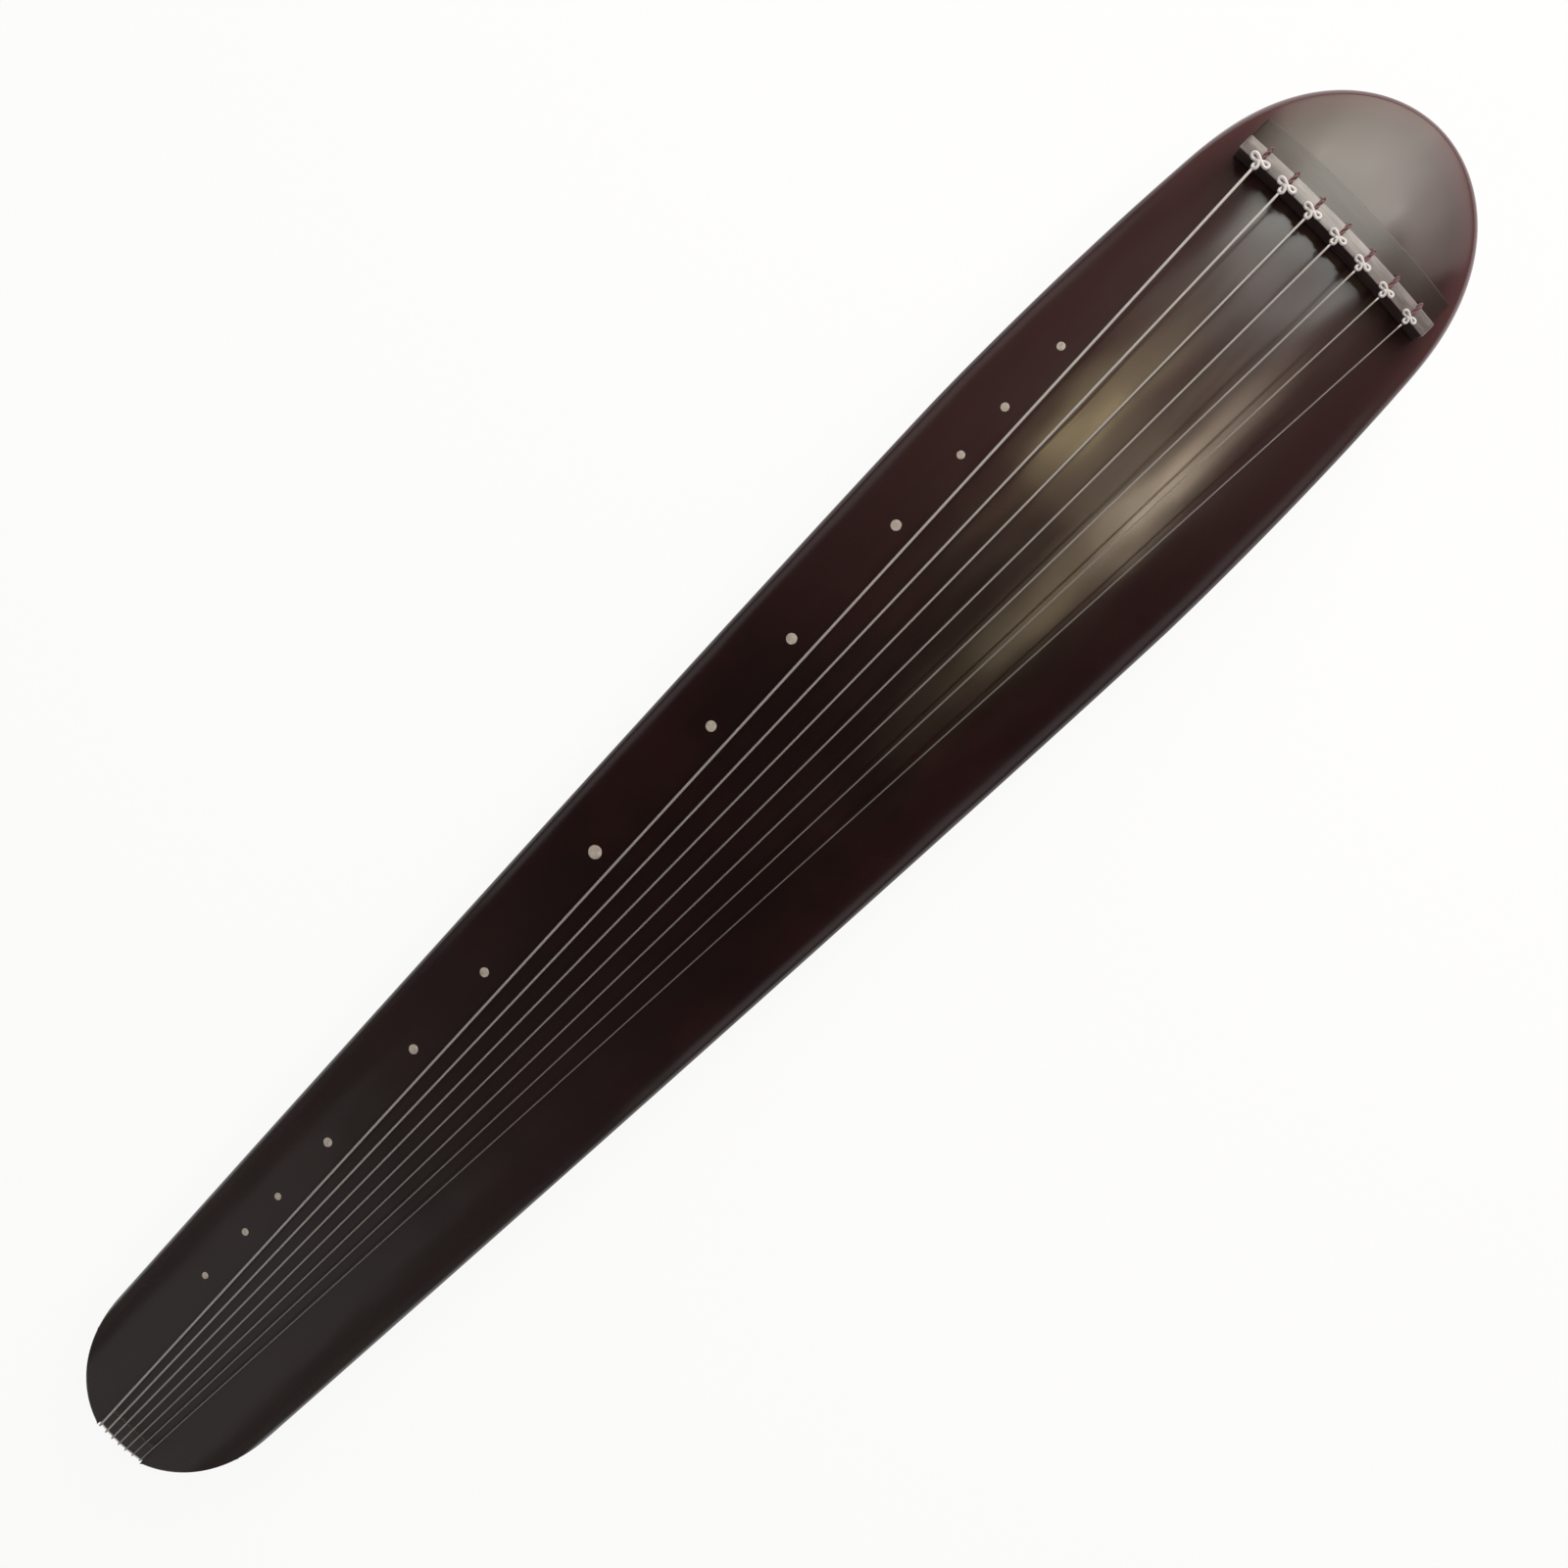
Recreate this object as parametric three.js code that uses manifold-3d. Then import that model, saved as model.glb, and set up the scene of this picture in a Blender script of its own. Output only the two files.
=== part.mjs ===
import * as THREE from "three";
import { mergeVertices } from "three/addons/utils/BufferGeometryUtils.js";
import Module from "manifold-3d";

// A seven-string Chinese zither: a hollow body of two lacquered boards, with seven strings over it.
// Millimetres. +X runs to the head, +Y to the side with the studs, away from the player, +Z up.
// The origin is on the ground, under the middle of the body.

// Body outline
const shoulderFromHead = 299.6;
const shoulderHalfWidth = 99.95;
const tailHalfWidth = 70.8;
const headHalfWidth = 79.9;
const sideBow = 1.222;
const headRoundLength = 110.1;
const headRoundPower = 2.733;
const headTipFlat = 3;
const tailRoundLength = 81.4;
const tailRoundPower = 2.368;
const tailRoundOverrun = 3.2;

// Body heights, above the underside of the bottom board
const bottomThickness = 10;
const tailEdgeHeight = 26;
const shoulderEdgeHeight = 29;
const headEdgeHeight = 27;
const tailCrownHeight = 44;
const shoulderCrownHeight = 51;
const headCrownHeight = 49.5;
const archPower = 0.55;
const headDomeShare = 0.9;

// Steps that the body's surface is drawn in
const tailSteps = 8;
const backSteps = 10;
const frontSteps = 4;
const headSteps = 10;
const archSteps = 14;
const hollowSteps = 12;
const hollowArchSteps = 10;

// Sound box, hollowed from below in the top board
const rimWidth = 14;
const topThickness = 11;
const hollowEdgeRise = 3;
const headBlockLength = 154;
const tailBlockLength = 109;
const padDrop = 4;
const padMargin = 18;

// Strings and cords, from the one farthest from the player to the nearest
const stringLength = 1120;
const headToBridge = 90.7;
const nutToTail = 7.3;
const stringDiameters = [1.7, 1.5, 1.35, 1.25, 1.15, 1, 0.9];
const stringGapAtBridge = 20.07;
const stringGapAtNut = 6.3;
const stringSides = 6;
const cordDiameter = 3;
const cordSides = 8;
const cordHoleClearance = 0.7;

// Knots, as sizes of the first string's knot and the last one's share of them
const knotTailReach = 6.6;
const knotHeadReach = 0.9;
const knotHalfWidth = 6.75;
const knotTailLoop = 4.4;
const knotSideLoop = 4.6;
const knotBead = 2.6;
const knotStringShare = 0.7;
const knotLapShare = 0.06;
const lastKnotShare = 0.78;
const knotSteps = 10;
const knotSides = 5;

// Bridge and the strip behind it
const bridgeThickness = 9.5;
const bridgeOverhang = 13.7;
const bridgeRise = 16;
const bridgeArch = 9;
const bridgeInset = 1.5;
const stripWidth = 18.2;
const stripThickness = 2.5;
const stripProud = 0.5;
const bridgeToCord = 3.7;

// Nut, crown corners and lower gum at the tail
const nutProud = 2.2;
const nutRound = 4;
const nutLength = 17;
const nutDepth = 16;
const nutOverhang = 1.6;
const crownLength = 54;
const crownStraight = 24;
const crownCurveShare = 0.75;
const crownDepth = 22;
const gumLength = 14;
const gumDrop = 3;
const gumRound = 3;

// Studs along the string, as harmonic shares of its length
const nearStudShares = [1 / 8, 1 / 6, 1 / 5, 1 / 4, 1 / 3, 2 / 5];
const farStudShares = nearStudShares.map((share) => 1 - share).reverse();
const studShares = [...nearStudShares, 1 / 2, ...farStudShares];
const studDiameters = [5.1, 5.3, 5.1, 6.7, 7, 7, 9.1, 6.4, 6.6, 6.4, 5, 5.2, 4.8];
const studLineAtBridge = 72.1;
const studLineAtNut = 36.4;
const studThickness = 1.5;
const studProud = 0.15;
const studSides = 12;

// Sound holes and their rims
const dragonPoolFromBridge = 420;
const dragonPoolLength = 215;
const phoenixPondFromFeet = 115;
const phoenixPondLength = 115;
const soundHoleWidth = 26;
const rimInlayWidth = 3;
const rimInlayDepth = 3;

// Sound posts
const roundPostFromPool = 62.5;
const roundPostDiameter = 15;
const squarePostFromPool = 88.5;
const squarePostWidth = 15;

// Goose feet, which carry the tail end and hold the string ends
const footHeight = 40;
const footFromTail = 332.3;
const footSpacing = 90;
const footCollarRadius = 13;
const footCollarHeight = 2.5;
const footNeckRadius = 8.5;
const baseToString = 2.1;
const footBaseRadius = 12.5;
const footTenonWidth = 13;
const footTenonLength = 21;
const footBlockWidth = 28;
const footBlockHeight = 12;
const footSides = 16;
const outerFootStringCount = 4;
const windingTurnCount = 2;
const windingSteps = 24;
const turnGap = 0.5;
const stringToStringGap = 0.9;
const collarToString = 0.8;

// Pegs, their pool and their guards
const pegToGround = 3.7;
const pegToPeg = 2.87;
const pegHeadRadius = 7;
const pegHeadHeight = 4;
const pegNeckRadius = 5.2;
const pegNeckDepth = 9;
const pegBellyDepth = 19;
const pegFootRadius = 7.2;
const pegFootRound = 2;
const pegBoreDepth = 20;
const pegBoreRoom = 2;
const pegSides = 12;
const pegPoolRoom = 4.4;
const pegPoolMargin = 3;
const pegPlateThickness = 3;
const guardThickness = 9;
const guardLength = 32;
const guardSetBack = 8;
const guardWaistShare = 0.72;

// Fits
const seatGap = 0.3;
const cutOverrun = 5;

// Places that follow from the sizes above
const bodyLength = headToBridge + stringLength + nutToTail;
const headX = bodyLength / 2;
const tailX = -bodyLength / 2;
const bridgeX = headX - headToBridge;
const nutX = bridgeX - stringLength;
const nutFaceX = nutX - nutRound;
const shoulderX = headX - shoulderFromHead;
const tailTipX = tailX - tailRoundOverrun;
const headRoundX = headX - headRoundLength;
const tailRoundX = tailTipX + tailRoundLength;
const cordX = bridgeX + bridgeThickness + bridgeToCord;
const stripX = bridgeX + bridgeThickness + seatGap;
const hollowHeadX = headX - headBlockLength;
const hollowTailX = tailX + tailBlockLength;
const footX = tailX + footFromTail;
const dragonPoolX = bridgeX - dragonPoolFromBridge;
const phoenixPondX = footX - phoenixPondFromFeet;
const underZ = footHeight;
const glueZ = footHeight + bottomThickness;
const nutZ = underZ + tailCrownHeight + nutProud;
const bridgeZ = underZ + crownHeight(bridgeX) + bridgeRise;
const roofZ = bridgeZ + cutOverrun;
const stringCount = stringDiameters.length;
const outerStringY = ((stringCount - 1) / 2) * stringGapAtBridge;
const bridgeHalfLength = outerStringY + bridgeOverhang;
const nutHalfWidth = ((stringCount - 1) / 2) * stringGapAtNut + nutOverhang;
const cordHoleRadius = cordDiameter / 2 + cordHoleClearance;
const plateZ = glueZ - pegPlateThickness;
const pegTopZ = plateZ - seatGap;
const pegLength = pegTopZ - pegToGround;
const pegBellyRadius = (stringGapAtBridge - pegToPeg) / 2;
const cordInPeg = pegBoreDepth - pegBoreRoom;
const pegPoolHalfWidth = pegBellyRadius + pegPoolRoom;
const pegPoolHalfLength = outerStringY + pegBellyRadius + pegPoolMargin;
const guardX = cordX - guardSetBack;
const guardY = pegPoolHalfLength + pegPoolMargin / 2 + guardThickness / 2;

const wasm = await Module();
wasm.setup();

// Turns a closed geometry into a solid that can be joined and cut.
function solidOf(geometry) {
  const bare = geometry.index ? geometry.toNonIndexed() : geometry.clone();
  bare.deleteAttribute("normal");
  bare.deleteAttribute("uv");
  const merged = mergeVertices(bare);
  return new wasm.Manifold(
    new wasm.Mesh({
      numProp: 3,
      vertProperties: merged.attributes.position.array,
      triVerts: new Uint32Array(merged.index.array),
    }),
  );
}

// Turns a solid back into a geometry with a flat normal on each face.
function geometryOf(solid) {
  const mesh = solid.getMesh();
  const geometry = new THREE.BufferGeometry();
  geometry.setAttribute("position", new THREE.BufferAttribute(mesh.vertProperties, 3));
  geometry.setIndex(new THREE.BufferAttribute(mesh.triVerts, 1));
  const flat = geometry.toNonIndexed();
  flat.computeVertexNormals();
  return flat;
}

// Joins rows of points, which lie one behind the other along X, into a closed solid.
function loft(rows) {
  const size = rows[0].length;
  const position = rows.flat().flatMap((point) => point.toArray());
  const index = [];
  for (let row = 0; row + 1 < rows.length; row += 1) {
    for (let i = 0; i < size; i += 1) {
      const a = row * size + i;
      const b = row * size + ((i + 1) % size);
      index.push(a, a + size, b + size);
      index.push(a, b + size, b);
    }
  }
  const last = (rows.length - 1) * size;
  for (let i = 1; i + 1 < size; i += 1) {
    index.push(0, i, i + 1);
    index.push(last, last + i + 1, last + i);
  }
  const geometry = new THREE.BufferGeometry();
  geometry.setAttribute("position", new THREE.Float32BufferAttribute(position, 3));
  geometry.setIndex(index);
  return solidOf(geometry);
}

// A flat shape drawn out square to its plane.
function extruded(shape, depth) {
  return new THREE.ExtrudeGeometry(shape, { depth, bevelEnabled: false, curveSegments: 8 });
}

// A flat shape, raised from one height to another.
function raised(shape, fromZ, toZ) {
  const geometry = extruded(shape, toZ - fromZ);
  geometry.translate(0, 0, fromZ);
  return solidOf(geometry);
}

// A box between two corners.
function block(x0, x1, y0, y1, z0, z1) {
  const geometry = new THREE.BoxGeometry(x1 - x0, y1 - y0, z1 - z0);
  geometry.translate((x0 + x1) / 2, (y0 + y1) / 2, (z0 + z1) / 2);
  return solidOf(geometry);
}

// An upright cylinder.
function rod(x, y, radius, fromZ, toZ, sides) {
  const geometry = new THREE.CylinderGeometry(radius, radius, toZ - fromZ, sides);
  geometry.rotateX(Math.PI / 2);
  geometry.translate(x, y, (fromZ + toZ) / 2);
  return solidOf(geometry);
}

// A turned piece about the Z axis, from a profile of [radius, height] that runs upwards.
function turned(profile, sides) {
  const points = profile.map(([radius, height]) => new THREE.Vector2(radius, height));
  const geometry = new THREE.LatheGeometry(points, sides);
  geometry.rotateX(Math.PI / 2);
  return solidOf(geometry);
}

// A slot with round ends, its length along X.
function slotShape(x, y, length, width) {
  const radius = width / 2;
  const run = length / 2 - radius;
  const shape = new THREE.Shape();
  shape.absarc(x + run, y, radius, -Math.PI / 2, Math.PI / 2);
  shape.absarc(x - run, y, radius, Math.PI / 2, Math.PI * 1.5);
  return shape;
}

// A curve that stops at each point of its list, so that a tube has a ring at each.
class Route extends THREE.Curve {
  constructor(points) {
    super();
    this.points = points;
  }

  getPoint(t) {
    const place = t * (this.points.length - 1);
    const from = Math.min(Math.floor(place + 1e-6), this.points.length - 2);
    return this.points[from].clone().lerp(this.points[from + 1], place - from);
  }

  getPointAt(u) {
    return this.getPoint(u);
  }

  getTangentAt(u) {
    const at = Math.round(u * (this.points.length - 1));
    const before = this.points[Math.max(at - 1, 0)];
    const after = this.points[Math.min(at + 1, this.points.length - 1)];
    const here = this.points[at];
    const into = at > 0 ? here.clone().sub(before).normalize() : new THREE.Vector3();
    const out = at + 1 < this.points.length ? after.clone().sub(here).normalize() : new THREE.Vector3();
    return into.add(out).normalize();
  }
}

// A closed tube with flat ends along a list of points.
function tube(points, radius, sides) {
  const section = new THREE.Shape();
  for (let i = 0; i < sides; i += 1) {
    const angle = (2 * Math.PI * i) / sides;
    const x = radius * Math.cos(angle);
    const y = radius * Math.sin(angle);
    if (i === 0) section.moveTo(x, y);
    else section.lineTo(x, y);
  }
  const options = { steps: points.length - 1, extrudePath: new Route(points), bevelEnabled: false };
  return solidOf(new THREE.ExtrudeGeometry(section, options));
}

// Half the width between the two long sides, without the round ends.
function sideHalfWidth(x) {
  if (x < shoulderX) {
    const back = (shoulderX - x) / (shoulderX - tailTipX);
    return shoulderHalfWidth - (shoulderHalfWidth - tailHalfWidth) * back ** sideBow;
  }
  const ahead = (x - shoulderX) / (headX - shoulderX);
  return shoulderHalfWidth - (shoulderHalfWidth - headHalfWidth) * ahead ** 2;
}

// How far a place has gone into the round head: 0 where it starts, 1 at the tip.
function headRound(x) {
  const share = (x - headRoundX) / headRoundLength;
  return Math.min(Math.max(share, 0), 1) ** headRoundPower;
}

// The same for the round tail.
function tailRound(x) {
  const share = (tailRoundX - x) / tailRoundLength;
  return Math.min(Math.max(share, 0), 1) ** tailRoundPower;
}

// Half the body's width.
function halfWidth(x) {
  const round = Math.sqrt((1 - headRound(x)) * (1 - tailRound(x)));
  return Math.max(sideHalfWidth(x) * round, headTipFlat);
}

// A height that runs straight from the tail to the shoulder, and from there to the head.
function along(x, atTail, atShoulder, atHead) {
  if (x < shoulderX) return atShoulder + ((atTail - atShoulder) * (shoulderX - x)) / (shoulderX - tailX);
  return atShoulder + ((atHead - atShoulder) * (x - shoulderX)) / (headX - shoulderX);
}

function crownHeight(x) {
  return along(x, tailCrownHeight, shoulderCrownHeight, headCrownHeight);
}

function edgeHeight(x) {
  return along(x, tailEdgeHeight, shoulderEdgeHeight, headEdgeHeight);
}

// Height of the playing surface at a place: an arch across, which the head rounds off.
function surfaceZ(x, y) {
  const inside = 1 - (y / sideHalfWidth(x)) ** 2 - headDomeShare * headRound(x);
  const edge = edgeHeight(x);
  return underZ + edge + (crownHeight(x) - edge) * Math.max(inside, 0) ** archPower;
}

// Half the width of the hollow, and the height of its ceiling.
function hollowHalfWidth(x) {
  return sideHalfWidth(x) - rimWidth;
}

function ceilingZ(x, y) {
  const edge = bottomThickness + hollowEdgeRise;
  const crown = crownHeight(x) - topThickness;
  const inside = 1 - (y / hollowHalfWidth(x)) ** 2;
  return underZ + edge + (crown - edge) * Math.max(inside, 0) ** archPower;
}

// Places along the body where its outline is drawn: close together on the round ends.
function bodyStations() {
  const stations = [];
  const cutAngle = Math.asin(1 - tailRoundOverrun / tailRoundLength);
  for (let i = 0; i < tailSteps; i += 1) {
    const angle = cutAngle * (1 - i / tailSteps);
    stations.push(tailTipX + tailRoundLength * (1 - Math.sin(angle)));
  }
  for (let i = 0; i < backSteps; i += 1) {
    stations.push(tailRoundX + ((shoulderX - tailRoundX) * i) / backSteps);
  }
  for (let i = 0; i < frontSteps; i += 1) {
    stations.push(shoulderX + ((headRoundX - shoulderX) * i) / frontSteps);
  }
  for (let i = 0; i <= headSteps; i += 1) {
    stations.push(headRoundX + headRoundLength * Math.sin((Math.PI * i) / headSteps / 2));
  }
  return stations;
}

// The body above the glue line, with its surface moved up or down.
function bodyBlank(lift) {
  const rows = bodyStations().map((x) => {
    const half = halfWidth(x);
    const row = [new THREE.Vector3(x, -half, glueZ)];
    for (let i = 0; i <= archSteps; i += 1) {
      const y = half * Math.sin(Math.PI * (i / archSteps - 0.5));
      row.push(new THREE.Vector3(x, y, surfaceZ(x, y) + lift));
    }
    row.push(new THREE.Vector3(x, half, glueZ));
    return row;
  });
  return loft(rows);
}

// The sound box, with the two pads that hang over the sound holes left in the wood.
function hollowBlank() {
  const rows = [];
  for (let i = 0; i <= hollowSteps; i += 1) {
    const x = hollowTailX + ((hollowHeadX - hollowTailX) * i) / hollowSteps;
    const half = hollowHalfWidth(x);
    const row = [new THREE.Vector3(x, -half, glueZ - cutOverrun)];
    for (let j = 0; j <= hollowArchSteps; j += 1) {
      const y = half * Math.sin(Math.PI * (j / hollowArchSteps - 0.5));
      row.push(new THREE.Vector3(x, y, ceilingZ(x, y)));
    }
    row.push(new THREE.Vector3(x, half, glueZ - cutOverrun));
    rows.push(row);
  }
  let hollow = loft(rows);
  for (const hole of soundHoles()) {
    const pad = slotShape(hole.x, 0, hole.length + 2 * padMargin, soundHoleWidth + 2 * padMargin);
    hollow = hollow.subtract(raised(pad, ceilingZ(hole.x, 0) - padDrop, roofZ));
  }
  return hollow;
}

function soundHoles() {
  return [
    { name: "dragon_pool_rim", x: dragonPoolX, length: dragonPoolLength },
    { name: "phoenix_pond_rim", x: phoenixPondX, length: phoenixPondLength },
  ];
}

// One entry for each string: its place at the bridge and at the nut, and its radius.
function stringPlaces() {
  return stringDiameters.map((diameter, i) => {
    const fromMiddle = (stringCount - 1) / 2 - i;
    return {
      number: i + 1,
      radius: diameter / 2,
      bridgeY: fromMiddle * stringGapAtBridge,
      nutY: fromMiddle * stringGapAtNut,
    };
  });
}

// Height of the bridge's arched top.
function bridgeTopZ(y) {
  return bridgeZ - bridgeArch * (y / bridgeHalfLength) ** 2;
}

// The bridge, or with a gap the groove that it stands in.
function bridgeBlank(gap) {
  const half = bridgeHalfLength + gap;
  const midX = bridgeX + bridgeThickness / 2;
  const shape = new THREE.Shape();
  for (let i = 0; i <= archSteps; i += 1) {
    const y = half * (1 - (2 * i) / archSteps);
    const z = surfaceZ(midX, y) - bridgeInset - gap;
    if (i === 0) shape.moveTo(z, y);
    else shape.lineTo(z, y);
  }
  for (let i = 0; i <= archSteps; i += 1) {
    const y = half * ((2 * i) / archSteps - 1);
    shape.lineTo(bridgeTopZ(y), y);
  }
  const geometry = extruded(shape, bridgeThickness + 2 * gap);
  geometry.rotateY(-Math.PI / 2);
  geometry.translate(bridgeX + bridgeThickness + gap, 0, 0);
  return solidOf(geometry);
}

// The inlaid strip behind the bridge, or with a gap the recess that it lies in.
function stripBlank(gap) {
  const x0 = stripX - gap;
  const x1 = stripX + stripWidth + gap;
  const half = bridgeHalfLength + gap;
  const lift = gap > 0 ? cutOverrun : stripProud;
  const place = block(x0, x1, -half, half, glueZ, roofZ);
  return bodyBlank(lift).intersect(place).subtract(bodyBlank(-stripThickness - gap));
}

// The holes that the tuning cords go down through, from above the strip to the peg pool.
function cordHoles() {
  return stringPlaces().map((place) => rod(cordX, place.bridgeY, cordHoleRadius, underZ, roofZ, cordSides));
}

// The nut: flat on top, with a round edge where the strings turn down.
function stringNut() {
  const shape = new THREE.Shape();
  shape.moveTo(nutFaceX + nutLength, nutZ - nutDepth);
  shape.lineTo(nutFaceX + nutLength, nutZ);
  shape.lineTo(nutX, nutZ);
  shape.absarc(nutX, nutZ - nutRound, nutRound, Math.PI / 2, Math.PI);
  shape.lineTo(nutFaceX, nutZ - nutDepth);
  return acrossTail(shape, nutHalfWidth);
}

// A side view in X and Z, drawn out across the tail.
function acrossTail(shape, half) {
  const geometry = extruded(shape, 2 * half);
  geometry.rotateX(Math.PI / 2);
  geometry.translate(0, half, 0);
  return solidOf(geometry);
}

// The lower gum: it fills the notch in the bottom board, with a round lower edge for the strings.
function lowerGum() {
  const shape = new THREE.Shape();
  const low = underZ - gumDrop;
  shape.moveTo(nutFaceX + gumLength, glueZ - seatGap);
  shape.lineTo(nutFaceX, glueZ - seatGap);
  shape.absarc(nutFaceX + gumRound, low + gumRound, gumRound, Math.PI, Math.PI * 1.5);
  shape.lineTo(nutFaceX + gumLength, low);
  return acrossTail(shape, nutHalfWidth);
}

// The room between the tail's tips: the nut's recess, and below it the gap that the strings run down.
function tailNotch() {
  const half = nutHalfWidth + seatGap;
  const nutEnd = nutFaceX + nutLength + seatGap;
  const recess = block(tailX - cutOverrun, nutEnd, -half, half, nutZ - nutDepth - seatGap, roofZ);
  return recess.add(block(tailX - cutOverrun, nutFaceX, -half, half, underZ - cutOverrun, roofZ));
}

// Plan of a crown corner on the +Y side, from the nut out to the edge of the tail.
function crownShape(gap) {
  const inner = nutHalfWidth + seatGap - gap;
  const outer = shoulderHalfWidth;
  const shape = new THREE.Shape();
  shape.moveTo(tailX - cutOverrun, inner);
  shape.lineTo(tailX + crownStraight + gap, inner);
  const turnX = tailX + crownLength * crownCurveShare + gap;
  shape.quadraticCurveTo(turnX, inner, tailX + crownLength + gap, outer);
  shape.lineTo(tailX - cutOverrun, outer);
  return shape;
}

// A crown corner, or with a gap the recess that it lies in; side is 1 for +Y and -1 for -Y.
function crownBlank(side, gap) {
  const solid = raised(crownShape(gap), underZ + crownDepth - gap, roofZ);
  return side > 0 ? solid : solid.mirror([0, 1, 0]);
}

// Places of the studs on the playing surface, with the surface's slope there.
function studPlaces() {
  return studShares.map((share, i) => {
    const x = bridgeX - stringLength * share;
    const y = studLineAtBridge + (studLineAtNut - studLineAtBridge) * share;
    const step = studThickness;
    const slopeX = (surfaceZ(x + step, y) - surfaceZ(x - step, y)) / (2 * step);
    const slopeY = (surfaceZ(x, y + step) - surfaceZ(x, y - step)) / (2 * step);
    const normal = new THREE.Vector3(-slopeX, -slopeY, 1).normalize();
    return { x, y, z: surfaceZ(x, y), normal, radius: studDiameters[i] / 2, number: i + 1 };
  });
}

// A stud, or with a gap the pocket that it is let into.
function studBlank(place, gap) {
  const top = gap > 0 ? studThickness : studProud;
  const bottom = studProud - studThickness - gap;
  const radius = place.radius + gap;
  const geometry = new THREE.CylinderGeometry(radius, radius, top - bottom, studSides);
  geometry.translate(0, (top + bottom) / 2, 0);
  const turn = new THREE.Quaternion().setFromUnitVectors(new THREE.Vector3(0, 1, 0), place.normal);
  geometry.applyQuaternion(turn);
  geometry.translate(place.x, place.y, place.z);
  return solidOf(geometry);
}

function topBoard() {
  let board = bodyBlank(0).subtract(hollow);
  board = board.subtract(bridgeBlank(seatGap));
  board = board.subtract(stripBlank(seatGap));
  board = board.subtract(tailNotch());
  board = board.subtract(crownBlank(1, seatGap));
  board = board.subtract(crownBlank(-1, seatGap));
  for (const hole of cordHoles()) board = board.subtract(hole);
  for (const place of studPlaces()) board = board.subtract(studBlank(place, seatGap));
  return board;
}

// Plan of the whole body.
function bodyShape() {
  const stations = bodyStations();
  const nearSide = stations.map((x) => new THREE.Vector2(x, -halfWidth(x)));
  const farSide = stations.reverse().map((x) => new THREE.Vector2(x, halfWidth(x)));
  return new THREE.Shape(nearSide.concat(farSide));
}

// A cut of a given plan size right through the bottom board.
function throughBottom(x0, x1, y0, y1) {
  return block(x0, x1, y0, y1, underZ - cutOverrun, glueZ + cutOverrun);
}

function bottomBoard() {
  let board = raised(bodyShape(), underZ, glueZ);
  for (const hole of soundHoles()) {
    const rebateTop = underZ + rimInlayDepth + seatGap;
    board = board.subtract(rimSlot(hole, 0, underZ - cutOverrun, glueZ + cutOverrun));
    board = board.subtract(rimSlot(hole, rimInlayWidth + seatGap, underZ - cutOverrun, rebateTop));
  }
  const poolX = pegPoolHalfWidth;
  const poolY = pegPoolHalfLength;
  board = board.subtract(throughBottom(cordX - poolX, cordX + poolX, -poolY, poolY));
  for (const foot of footPlaces()) {
    const half = footTenonWidth / 2 + seatGap;
    board = board.subtract(throughBottom(footX - half, footX + half, foot.y - half, foot.y + half));
  }
  const gumY = nutHalfWidth + seatGap;
  return board.subtract(throughBottom(tailX - cutOverrun, nutFaceX + gumLength + seatGap, -gumY, gumY));
}

// A slot wider than a sound hole by a margin.
function rimSlot(hole, margin, fromZ, toZ) {
  return raised(slotShape(hole.x, 0, hole.length + 2 * margin, soundHoleWidth + 2 * margin), fromZ, toZ);
}

// The hardwood rim inlaid round a sound hole.
function soundHoleRim(hole) {
  const outer = rimSlot(hole, rimInlayWidth, underZ, underZ + rimInlayDepth);
  return outer.subtract(rimSlot(hole, 0, underZ - cutOverrun, glueZ));
}

function footPlaces() {
  return [
    { name: "outer", side: 1, y: footSpacing / 2 },
    { name: "inner", side: -1, y: -footSpacing / 2 },
  ];
}

// A goose foot: a turned base, neck and collar, with a square tenon on top.
function gooseFoot(foot) {
  const neckTop = underZ - seatGap - footCollarHeight;
  const neckFoot = neckTop - footNeckLength();
  const profile = [
    [0, 0],
    [footBaseRadius, 0],
    [footBaseRadius, neckFoot / 2],
    [footNeckRadius, neckFoot],
    [footNeckRadius, neckTop],
    [footCollarRadius, neckTop],
    [footCollarRadius, underZ - seatGap],
    [0, underZ - seatGap],
  ];
  const half = footTenonWidth / 2;
  const tenonBottom = underZ - seatGap - footCollarHeight / 2;
  const tenon = block(-half, half, -half, half, tenonBottom, underZ + footTenonLength);
  return turned(profile, footSides).add(tenon).translate([footX, foot.y, 0]);
}

// Height that one string's turns take on a foot.
function windingHeight(diameter) {
  return windingTurnCount * (diameter + turnGap) + diameter;
}

// A neck long enough for the thicker strings, which are wound on the outer foot.
function footNeckLength() {
  const heights = stringDiameters.slice(0, outerFootStringCount).map(windingHeight);
  const wound = heights.reduce((sum, height) => sum + height + stringToStringGap, -stringToStringGap);
  return collarToString + wound + baseToString;
}

// The wooden block inside the body that holds a foot's tenon.
function footBlock(foot) {
  const half = footBlockWidth / 2;
  const hole = footTenonWidth / 2 + seatGap;
  const wood = block(-half, half, -half, half, glueZ + seatGap, glueZ + footBlockHeight);
  const bored = wood.subtract(block(-hole, hole, -hole, hole, underZ, roofZ));
  return bored.translate([footX, foot.y, 0]).intersect(hollow.translate([0, 0, -seatGap]));
}

// The point where a straight string meets a foot's neck, and the angle it arrives at.
function tangentOnFoot(from, foot, radius) {
  const centre = new THREE.Vector2(footX, foot.y * foot.side);
  const start = new THREE.Vector2(from.x, from.y * foot.side);
  const reach = centre.clone().sub(start);
  const heading = Math.atan2(reach.y, reach.x) - Math.asin(radius / reach.length());
  return heading - Math.PI / 2;
}

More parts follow.
